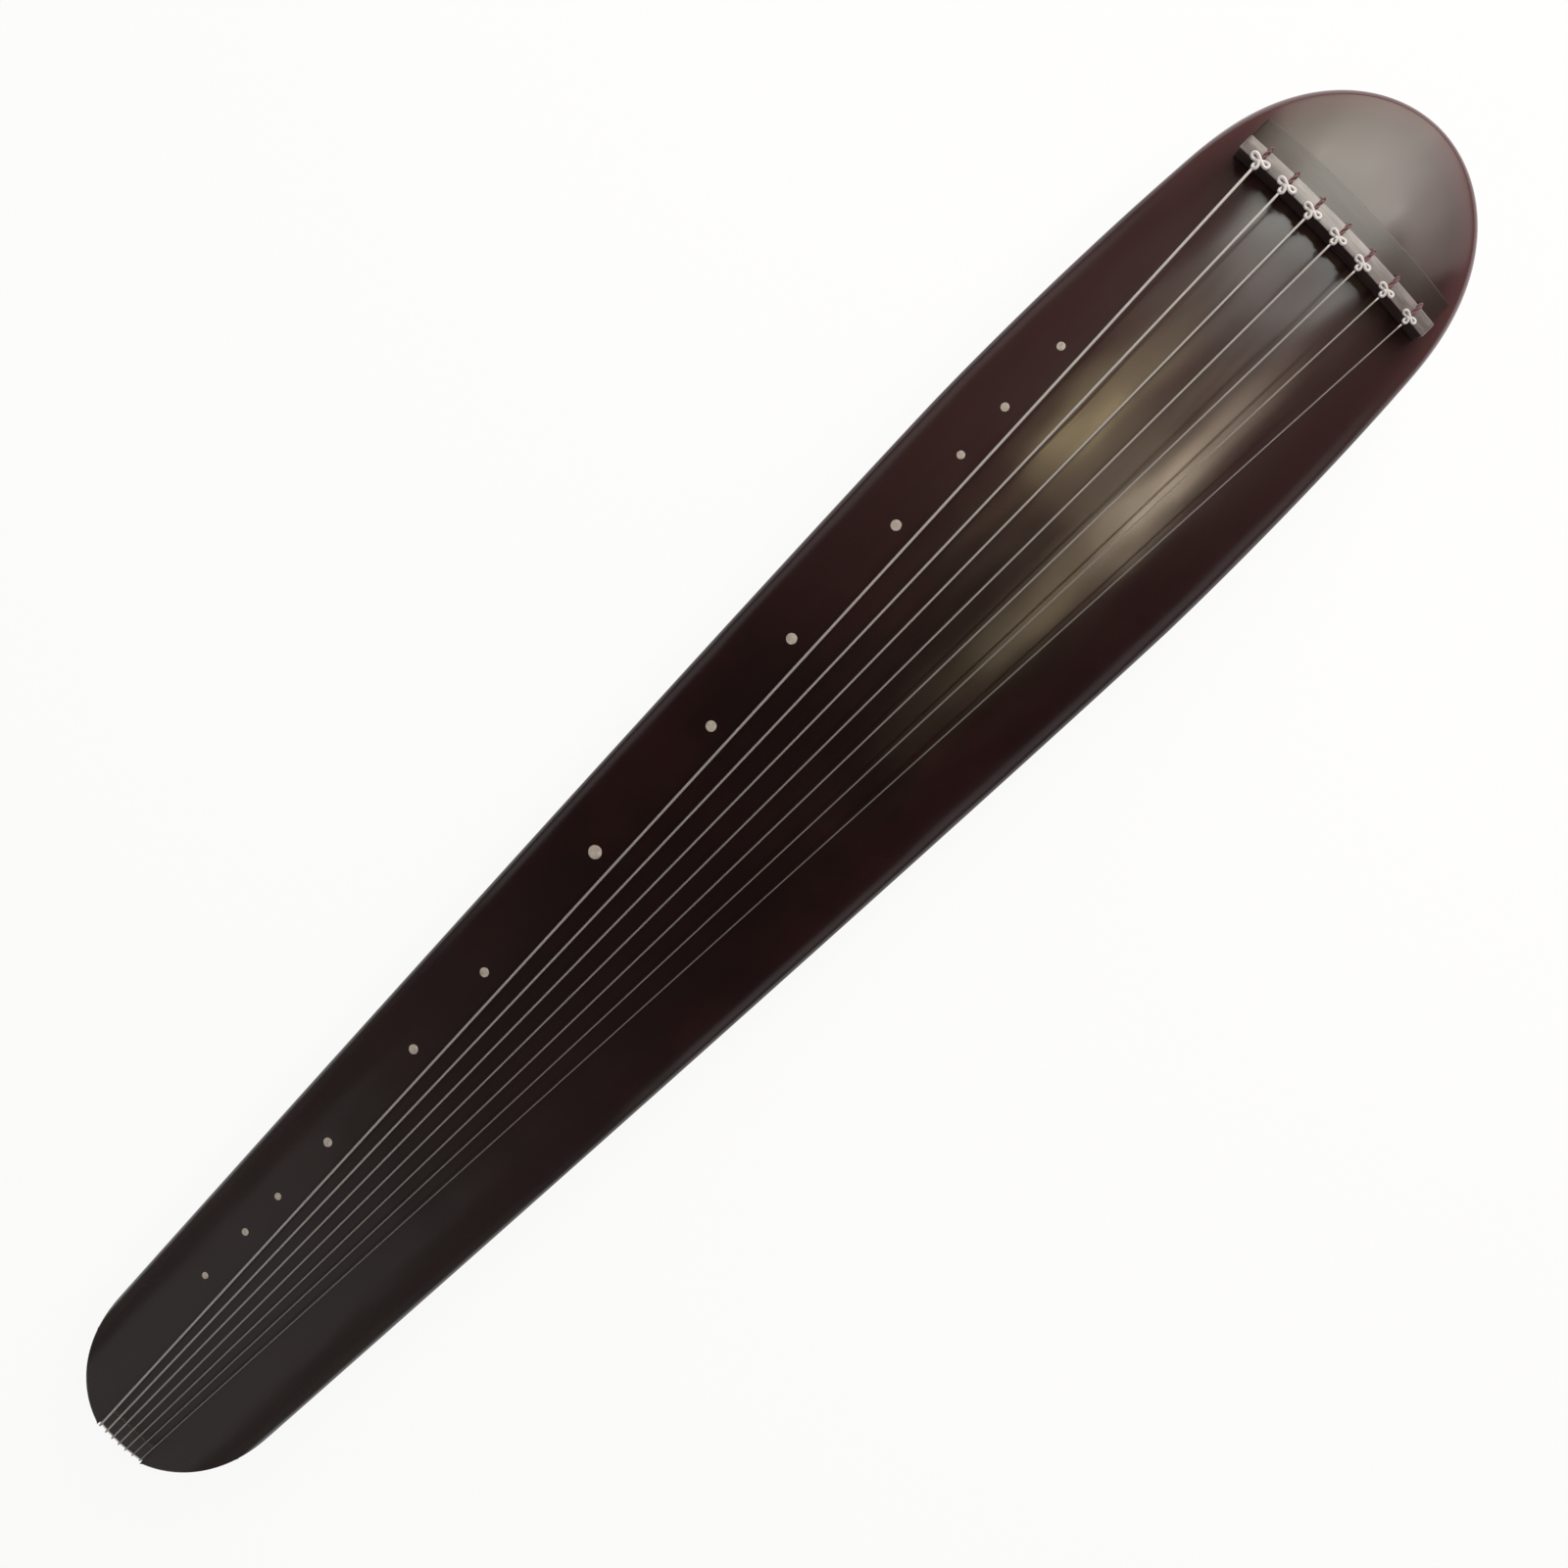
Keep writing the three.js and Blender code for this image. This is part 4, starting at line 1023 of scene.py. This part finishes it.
def crown_corner(side):
    """Lines from the inlay's inner curve out to the plan's edge, at the height of the arch, with
    the same round edge, and a wall down into the recess."""
    side_line = outline[notch_steps + 1 :]
    side_line = side_line[side_line[:, 0] < crown_end_x]
    number = np.arange(len(side_line))
    places = np.linspace(0, number[-1], crown_steps)
    outer = spread(side_line, number, places)
    normal = spread(inward[notch_steps + 1 :][number], number, places)
    normal /= np.linalg.norm(normal, axis=1)[:, None]
    end = outer[-1]
    share = np.linspace(0, 1, 61)
    curve_x = curve(tail_x + crown_straight, tail_x + crown_turn, tail_x + crown_length, share)
    curve_y = curve(notch_half, notch_half, shoulder_half, share)
    straight = np.column_stack([np.linspace(tail_x, curve_x[0], 24), np.full(24, notch_half)])
    bent = np.column_stack([curve_x, curve_y])[curve_y < end[1]]
    inner = np.concatenate([straight, bent[1:], [end]])
    length = np.concatenate([[0], np.cumsum(np.linalg.norm(np.diff(inner, axis=0), axis=1))])
    inner = spread(inner, length, np.linspace(0, length[-1], crown_steps))
    radius = np.minimum(edge_round(outer[:, 0]), 0.6 * np.linalg.norm(outer - inner, axis=1))
    rows = []
    for quarter in np.linspace(0, np.pi / 2, 7):
        xy = outer + normal * (radius * (1 - np.cos(quarter)))[:, None]
        xy[:, 1] = np.maximum(xy[:, 1], notch_half)
        z = surface_z(xy[:, 0], xy[:, 1]) - radius * (1 - np.sin(quarter)) + crown_proud
        rows.append(at_height(xy, z))
    flush = outer - normal * crown_over_wall
    flush[:, 0] = np.maximum(flush[:, 0], tail_x)
    rows[0][:, :2] = flush
    low = at_height(flush, crown_low_z)
    start = rows[-1][:, :2]
    for share in np.linspace(0, 1, 16)[1:]:
        xy = start + (inner - start) * share
        rows.append(at_height(xy, surface_z(xy[:, 0], xy[:, 1]) + crown_proud))
    points = np.array([low] + rows + [at_height(inner, crown_low_z), low])
    points[:, :, 1] *= side
    return [grid(points), fan(points[:-1, 0])]


for node_name, side in (("crown_corner_outer", 1), ("crown_corner_inner", -1)):
    corner = piece(node_name.replace("corner", "inlay"), crown_corner(side), [lacquer])
    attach(corner, "instrument")
    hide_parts(node_name)

# Studs. Thirteen discs of mother of pearl let into the surface at the harmonic points, ground
# down with it so that they follow the arch.

string_length = 1120
head_shares = [1 / 8, 1 / 6, 1 / 5, 1 / 4, 1 / 3, 2 / 5]
stud_shares = head_shares + [1 / 2] + [1 - share for share in reversed(head_shares)]
stud_widths = [5.1, 5.3, 5.1, 6.7, 7, 7, 9.1, 6.4, 6.6, 6.4, 5, 5.2, 4.8]
stud_y_at_bridge, stud_y_at_nut = 72.1, 36.4
# The disc's section, as a share of its radius and a height over the arch.
stud_section = [(0, 0.14), (0.35, 0.14), (0.7, 0.14), (0.9, 0.13), (0.97, 0.09), (1, 0.0)]
stud_section += [(1, -1.2), (0, -1.2)]

pearl, tree, shader = new_material("ground_mother_of_pearl")
# Warm grey white shell with cloudy growth bands about 1 mm wide.
place = add_node(tree, "TexCoord")
bands = add_node(
    tree,
    "TexNoise",
    {"Vector": place.outputs["Object"], "Scale": 420.0, "Detail": 3.0, "Distortion": 1.5},
)
tone = add_node(
    tree,
    "ValToRGB",
    {"Fac": bands.outputs["Fac"]},
    stops=[(0.3, linear(0x8E857F)), (0.72, linear(0xB9B1AA)), (0.5, linear(0xA59C98))],
)
set_inputs(tree, shader, {"Base Color": tone.outputs[0], "Roughness": 0.3, "IOR": 1.6})


def stud_disc(x, y, radius):
    """Rings about the stud's middle at the height of the arch, with an eased rim and a short
    wall down into the pocket."""
    turn = np.linspace(0, 2 * np.pi, 41)
    rows = []
    for share, lift in stud_section:
        px, py = x + radius * share * np.cos(turn), y + radius * share * np.sin(turn)
        rows.append(np.column_stack([px, py, surface_z(px, py) + lift]))
    return grid(np.array(rows))


for i, (share, width) in enumerate(zip(stud_shares, stud_widths)):
    x = bridge_x - string_length * share
    y = stud_y_at_bridge + (stud_y_at_nut - stud_y_at_bridge) * share
    stud = piece(f"pearl_stud_{i + 1}", [stud_disc(x, y, width / 2)], [pearl])
    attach(stud, "instrument")
    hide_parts(f"stud_{i + 1}")

# Goose feet. Two turned feet of rosewood, driven by square tenons into blocks in the body. The
# strings end in turns round their necks.

tenon_half = 6.5
tenon_low_z, tenon_top_z = 39.0, 61.0
neck_radius = 8.5


def eased(start, end, steps):
    """Points of a turned profile between two places, the radius along half a cosine wave."""
    share = np.linspace(0, 1, steps)
    radius = start[0] + (end[0] - start[0]) * (1 - np.cos(np.pi * share)) / 2
    return np.column_stack([radius, start[1] + (end[1] - start[1]) * share])


def turned(profile, x, y, sides=48):
    """A profile of radius and height, turned about an upright axis."""
    turn = np.linspace(0, 2 * np.pi, sides + 1)
    radius, height = profile[:, :1], profile[:, 1:]
    x = x + radius * np.cos(turn)
    y = y + radius * np.sin(turn)
    return grid(np.stack([x, y, height + 0 * turn], axis=2))


def tenon(x, y):
    """A closed block: a ring of four walls and two lids."""
    loop = block_loop(x, y, tenon_half, tenon_half)
    lids = [flat_face([loop], tenon_low_z), flat_face([loop], tenon_top_z)]
    return [wall_of(loop, tenon_low_z, tenon_top_z)] + lids


# From the ground up: a wide base, a waist up to the neck, and a collar under the board.
foot_profile = np.concatenate(
    [
        [[0, 0], [11.6, 0], [12.2, 0.25], [12.5, 0.9], [12.5, 4.2], [12.35, 4.8]],
        eased((12.2, 5.1), (neck_radius, 10.2), 12),
        eased((neck_radius, 10.4), (neck_radius, 36.6), 6),
        [[8.8, 37.0], [9.4, 37.2], [12.5, 37.25], [12.9, 37.5], [13, 38.0]],
        [[13, 39.2], [12.8, 39.6], [12.4, 39.7], [0, 39.7]],
    ]
)
for place_name, y in (("outer", foot_y), ("inner", -foot_y)):
    patches = [turned(foot_profile, foot_x, y)] + tenon(foot_x, y)
    foot = piece(f"foot_turned_{place_name}", patches, [hardwood])
    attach(foot, "instrument")
    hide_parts(f"goose_foot_{place_name}")

# Strings. Seven strings of a steel core wrapped in fine white filament, from 1.7 mm down to
# 0.9 mm. Each starts in a looped knot on the bridge and ends in two turns on a foot.

string_radii = np.array([1.7, 1.5, 1.35, 1.25, 1.15, 1.0, 0.9]) / 2
nut_string_y = 6.3 * from_middle_string
outer_foot_strings = 4
string_clearance = 0.05
collar_to_string = 3.3
turn_gap = 0.5
string_to_string = 0.9
drawn_lay = 0.0006
dome_sizes = np.array([0.0, 0.5, 0.87])
dome_reach = 0.6 * np.array([[1.0], [0.87], [0.5]])
string_over_bridge = 0.3

filament, tree, shader = new_material("wrapped_white_filament")
# White wrapping that has yellowed a little. Its turns lie 0.3 mm apart; they are drawn 0.6 mm
# apart, because finer ones would not show. Each turn is painted lighter on its crest and darker in
# the groove between turns, a painted shade that follows the bump.
lie = add_node(tree, "Attribute", attribute_name="run")
turns = add_node(
    tree, "Math", {0: lie.outputs["Fac"], 1: 2 * math.pi / drawn_lay}, operation="MULTIPLY"
)
turns = add_node(tree, "Math", {0: turns.outputs[0]}, operation="SINE")
groove_painted_shade = add_node(tree, "MapRange", {"Value": turns.outputs[0], "From Min": -1.0, "From Max": 1.0})
# Painted shade: the strings are drawn greyer towards the tail end, and the thin strings most.
string_painted_shade = add_node(tree, "Attribute", attribute_name="string_painted_shade")
# The knots are thicker and whiter than the played length, and lose most of the painted shade.
axes = add_node(tree, "TexCoord")
axes = add_node(tree, "SeparateXYZ", {0: axes.outputs["Object"]})
at_knot = add_node(
    tree, "MapRange", {"Value": axes.outputs["X"], "From Min": 0.511, "From Max": 0.513, "To Max": 0.85}
)
colour = linear(0x9E999C)
for amount, shade in (
    (groove_painted_shade.outputs[0], 0xDAD5D8),
    (string_painted_shade.outputs["Fac"], 0x5E5655),
    (at_knot.outputs[0], 0xD0CBD1),
):
    tone = add_node(tree, "Mix", {0: amount, 6: colour, 7: linear(shade)}, data_type="RGBA")
    colour = tone.outputs[2]
relief = add_node(tree, "Bump", {"Height": turns.outputs[0], "Strength": 0.5, "Distance": 0.00004})
set_inputs(
    tree, shader, {"Base Color": colour, "Roughness": 0.38, "IOR": 1.53, "Normal": relief.outputs[0]}
)


def tube(path, side, radius, sides=12):
    """A round tube along a path. Its section stands square to the path, turned so that one
    point of it lies on the given side direction, and its ends are closed with a small dome."""
    way = np.gradient(path, axis=0)
    way /= np.linalg.norm(way, axis=1)[:, None]
    side = side - np.sum(side * way, axis=1)[:, None] * way
    side /= np.linalg.norm(side, axis=1)[:, None]
    size = radius * np.concatenate([dome_sizes, np.ones(len(side)), dome_sizes[::-1]])
    reach = dome_reach * radius
    path = np.concatenate([path[:1] - way[:1] * reach, path, path[-1:] + way[-1:] * reach[::-1]])
    third = np.pad(np.cross(way, side), ((3, 3), (0, 0)), "edge")
    side = np.pad(side, ((3, 3), (0, 0)), "edge")
    turn = np.linspace(0, 2 * np.pi, sides + 1)[None, :, None]
    ring = side[:, None] * np.cos(turn) + third[:, None] * np.sin(turn)
    return grid(path[:, None] + ring * size[:, None, None])


# The first string's knot: its strand's radius, and for each loop its place in front of the
# bridge's edge and how far it reaches, out to the strand's outer side.
knot_strand = 1.02
eight_x, eight_reach, eight_half = 1.5, 2.45, 7.0
third_x, third_reach, third_half = 0.6, 5.4, 2.35
binding_x = 0.4
last_knot_share = 0.78
knot_to_string = 4.6
knot_lift = 1.75
knot_sunk = 0.1


def knot_loops(radius, share):
    """Two loops along the bridge as a figure of eight, which crosses over itself, a third loop
    towards the strings, and two turns that bind them, round the bridge's front edge."""
    weave = 0.75 * radius
    turn = np.linspace(0, 2 * np.pi, 65)
    eight = np.column_stack(
        [
            eight_x * share + (eight_reach * share - radius) * np.sin(2 * turn),
            (eight_half * share - radius) * np.sin(turn),
            weave * np.cos(turn),
        ]
    )
    half = np.linspace(0, np.pi, 33)
    third = np.column_stack(
        [
            third_x * share - (third_reach * share - radius) * np.sin(half),
            -(third_half * share - radius) * np.sin(2 * half),
            weave * np.cos(half),
        ]
    )
    bind = np.linspace(0, 4 * np.pi, 49)
    binding = np.column_stack(
        [
            binding_x * share + radius * (bind / (4 * np.pi) - 0.5),
            radius * 1.1 * np.cos(bind),
            weave * np.sin(bind),
        ]
    )
    upwards = np.array([[0.0, 0.0, 1.0]])
    forwards = np.array([[1.0, 0.0, 0.0]])
    sides = [upwards.repeat(65, 0), upwards.repeat(33, 0), forwards.repeat(49, 0)]
    return list(zip([eight, third, binding], sides))


def knot_patches(i):
    """The knot of one string, laid on the bridge's arched top."""
    share = 1 - (1 - last_knot_share) * i / (string_count - 1)
    strand = knot_strand * share
    y0 = string_y[i]
    tilt = math.atan(-2 * bridge_arch * y0 / bridge_half**2)
    c, s = math.cos(tilt), math.sin(tilt)
    lean = np.array([[1, 0, 0], [0, c, -s], [0, s, c]])
    place = np.array([bridge_x, y0, bridge_top_z(y0) + strand * knot_lift - knot_sunk])
    loops = knot_loops(strand, share)
    return [tube(path @ lean.T + place, side @ lean.T, strand, 10) for path, side in loops]


def round_edge(x, y, z, radius, first):
    """A quarter circle in X and Z about a place, from the first angle on."""
    turn = np.linspace(first, first + np.pi / 2, 9)
    return np.column_stack([x + radius * np.cos(turn), np.full(9, y), z + radius * np.sin(turn)])


def string_path(i, side, top_z):
    """From the knot straight to the nut, round it, down the tail's face, round the gum, straight
    to the foot, and two turns round its neck, with the side direction at each point."""
    radius = string_radii[i]
    offset = radius + string_clearance
    y = nut_string_y[i]
    face_x = nut_face_x - bow(y)
    start_z = bridge_top_z(string_y[i]) + radius + string_over_bridge
    start = np.array([bridge_x - knot_to_string, string_y[i], start_z])
    over = round_edge(face_x + nut_round, y, nut_z - nut_round, nut_round + offset, np.pi / 2)
    under = round_edge(face_x + gum_round, y, under_z, gum_round + offset, np.pi)
    run = start + (over[0] - start) * np.linspace(0, 1, 25)[:-1, None]
    around = neck_radius + offset
    reach = np.array([foot_x - under[-1, 0], foot_y - under[-1, 1] * side])
    heading = math.atan2(reach[1], reach[0]) - math.asin(around / np.hypot(*reach)) - np.pi / 2
    wound = np.linspace(0, 4 * np.pi, 97)
    turns = np.column_stack(
        [
            foot_x + around * np.cos(heading + wound),
            side * (foot_y + around * np.sin(heading + wound)),
            top_z - (2 * radius + turn_gap) * wound / (2 * np.pi),
        ]
    )
    share = np.linspace(0, 1, 14)[1:-1]
    back = under[-1] + (turns[0] - under[-1]) * share[:, None]
    path = np.concatenate([run, over, under, back, turns])
    level = np.concatenate([np.zeros(len(run) + len(over) + len(under)), share, np.ones(len(turns))])
    return path, np.column_stack([0 * level, 1 - level, level])


# The painted shade starts at a place on the string, in metres, and grows over a length. How much of
# the string stays unshaded at the head, and how much of that the tail loses, from the thickest string to
# the thinnest.
shade_start, shade_run = 0.5, 0.4
tail_ease = 0.12
lit_share_thick, lit_share_thin = 0.9, 0.18
loss_thick, loss_thin = 0.55, 0.85


def mark_run(made, thinness):
    """How far each point lies along the straight run, in metres, for the wrapping, and how much
    painted shade it takes: more towards the tail, and more on a thin string."""
    x, _, z = points_of(made).T
    mark(made, "run", z - x)
    to_tail = np.clip((shade_start - x) / shade_run, 0, 1) - tail_ease * np.clip(-x / shade_run, 0, 1)
    lit_share = lit_share_thick + (lit_share_thin - lit_share_thick) * thinness**1.5
    loss = loss_thick + (loss_thin - loss_thick) * thinness
    mark(made, "string_painted_shade", 1 - lit_share * (1 - loss * to_tail))


for i in range(string_count):
    side = 1 if i < outer_foot_strings else -1
    if i in (0, outer_foot_strings):
        top_z = under_z - seat_gap - collar_to_string
    radius = string_radii[i]
    top_z -= radius
    path, sides = string_path(i, side, top_z)
    top_z -= 2 * (2 * radius + turn_gap) + radius + string_to_string
    patches = [tube(path, sides, radius)] + knot_patches(i)
    string = piece(f"wound_string_{i + 1}", patches, [filament], crease=80)
    mark_run(string, i / (string_count - 1))
    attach(string, "instrument")
    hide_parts(f"string_{i + 1}")

# Tuning cords. Twisted silk, dyed dark red, from each knot over the bridge, down through the
# strip and into the bore of the peg that twists it.

peg_top_z = 46.7
cord_in_peg = 18
strand_radius = 0.64
strand_out = 0.6
cord_lay = 8
cord_step = 0.6

silk, tree, shader = new_material("twisted_red_silk")
# Dull sheen of silk. Its fibres lie in the twist, some 0.2 mm wide, drawn 0.5 mm.
place = add_node(tree, "TexCoord")
fibres = add_node(tree, "TexNoise", {"Vector": place.outputs["Object"], "Scale": 1600.0, "Detail": 3.0})
tone = add_node(
    tree,
    "ValToRGB",
    {"Fac": fibres.outputs["Fac"]},
    stops=[(0.32, linear(0x543339)), (0.68, linear(0x7C4F57))],
)
relief = add_node(tree, "Bump", {"Height": fibres.outputs["Fac"], "Strength": 0.6, "Distance": 0.0001})
set_inputs(
    tree,
    shader,
    {
        "Base Color": tone.outputs[0],
        "Roughness": 0.7,
        "Sheen Weight": 0.3,
        "Sheen Roughness": 0.4,
        "Normal": relief.outputs[0],
    },
)


def cord_path(y):
    """From under the knot over the bridge's top, round its back edge, down its back and into the
    peg's bore, in even steps, its corners rounded by a running mean."""
    top = bridge_top_z(y)
    back = bridge_back_x + 1.3
    entry = surface_z(np.array([peg_x]), np.array([y]))[0] + strip_proud
    corners = np.array(
        [
            [bridge_x + 1.5, top + 1.0],
            [back - 1.2, top + 0.35],
            [back, top - 1.2],
            [back + 0.1, entry + 5],
            [peg_x - 0.1, entry + 1],
            [peg_x, entry - 2],
            [peg_x, peg_top_z - cord_in_peg],
        ]
    )
    length = np.concatenate([[0], np.cumsum(np.linalg.norm(np.diff(corners, axis=0), axis=1))])
    at = np.linspace(0, length[-1], int(length[-1] / cord_step))
    xz = spread(corners, length, at)
    xz[2:-2] = sum(xz[i : len(xz) - 4 + i] for i in range(5)) / 5
    return np.column_stack([xz[:, 0], np.full(len(at), y), xz[:, 1]]), at


def cord_strands(y):
    """Two strands that wind round the path, half a turn apart."""
    path, at = cord_path(y)
    way = np.gradient(path, axis=0)
    way /= np.linalg.norm(way, axis=1)[:, None]
    across = np.tile([[0.0, 1.0, 0.0]], (len(path), 1))
    third = np.cross(way, across)
    strands = []
    for phase in (0, np.pi):
        angle = (2 * np.pi * at / cord_lay + phase)[:, None]
        out = across * np.cos(angle) + third * np.sin(angle)
        strands.append(tube(path + out * strand_out, out, strand_radius, 8))
    return strands


for i in range(string_count):
    cord = piece(f"silk_cord_{i + 1}", cord_strands(string_y[i]), [silk], crease=80)
    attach(cord, "instrument")
    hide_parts(f"tuning_cord_{i + 1}")

# Peg plate. A thin rosewood board in the ceiling of the peg pool, which the pegs bear on. It
# keeps its solid.

for material_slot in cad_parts["peg_plate"].material_slots:
    material_slot.material = hardwood

# Tuning pegs. Seven turned rosewood handles under the head, each with a flat head, a narrow
# neck and a belly for the fingers, bored from above for its cord.

peg_neck, peg_belly = (5.2, -9.0), (8.6, -19.0)
# Radius and height under the peg's top, from the foot up to the head, then down the bore.
peg_profile = np.concatenate(
    [
        [[0, -43.0], [5.6, -43.0], [6.5, -42.7], [7.0, -42.0], [7.2, -41.2]],
        eased((7.2, -40.6), peg_belly, 14)[1:],
        eased(peg_belly, peg_neck, 14)[1:],
        eased(peg_neck, (6.9, -4.6), 8)[1:],
        [[7.0, -4.2], [7.0, -0.4], [6.85, -0.1], [6.6, 0.0]],
        [[2.5, 0.0], [2.2, -0.3], [2.2, -20], [0, -20]],
    ]
)
for i in range(string_count):
    patch = turned(peg_profile + np.array([0, peg_top_z]), peg_x, string_y[i], 40)
    peg = piece(f"turned_peg_{i + 1}", [patch], [hardwood], crease=30)
    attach(peg, f"peg_{i + 1}")
    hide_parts(f"tuning_peg_{i + 1}")

# Peg guards. Two waisted rosewood blocks beside the pegs, glued to the underside, which carry
# the head end and keep the pegs off the table.

guard_x = 523.5
guard_y = 77.81
guard_half_length = 16
guard_waist_share = 0.72
guard_half_thickness = 4.5


def guard_section():
    """A side view in X and Z: flat below and above, with a waist on the front and the back."""
    share = np.linspace(0, 1, 25)
    top = under_z - seat_gap
    out = curve(guard_half_length, guard_half_length * guard_waist_share, guard_half_length, share)
    front = np.column_stack([out, curve(0, top / 2, top, share)])
    return np.concatenate([front, front[::-1] * [-1, 1]]) + [guard_x, 0]


for node_name, side in (("peg_guard_outer", 1), ("peg_guard_inner", -1)):
    aside = np.array([0, side * guard_y, 0])
    patches = across_tail(guard_section(), guard_half_thickness, 2, 0.0)
    patches = [(points + aside, corners, slot) for points, corners, slot in patches]
    guard = piece(node_name.replace("peg_guard", "guard_block"), patches, [hardwood])
    ease_edges(guard, 0.9, 4)
    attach(guard, "instrument")
    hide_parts(node_name)
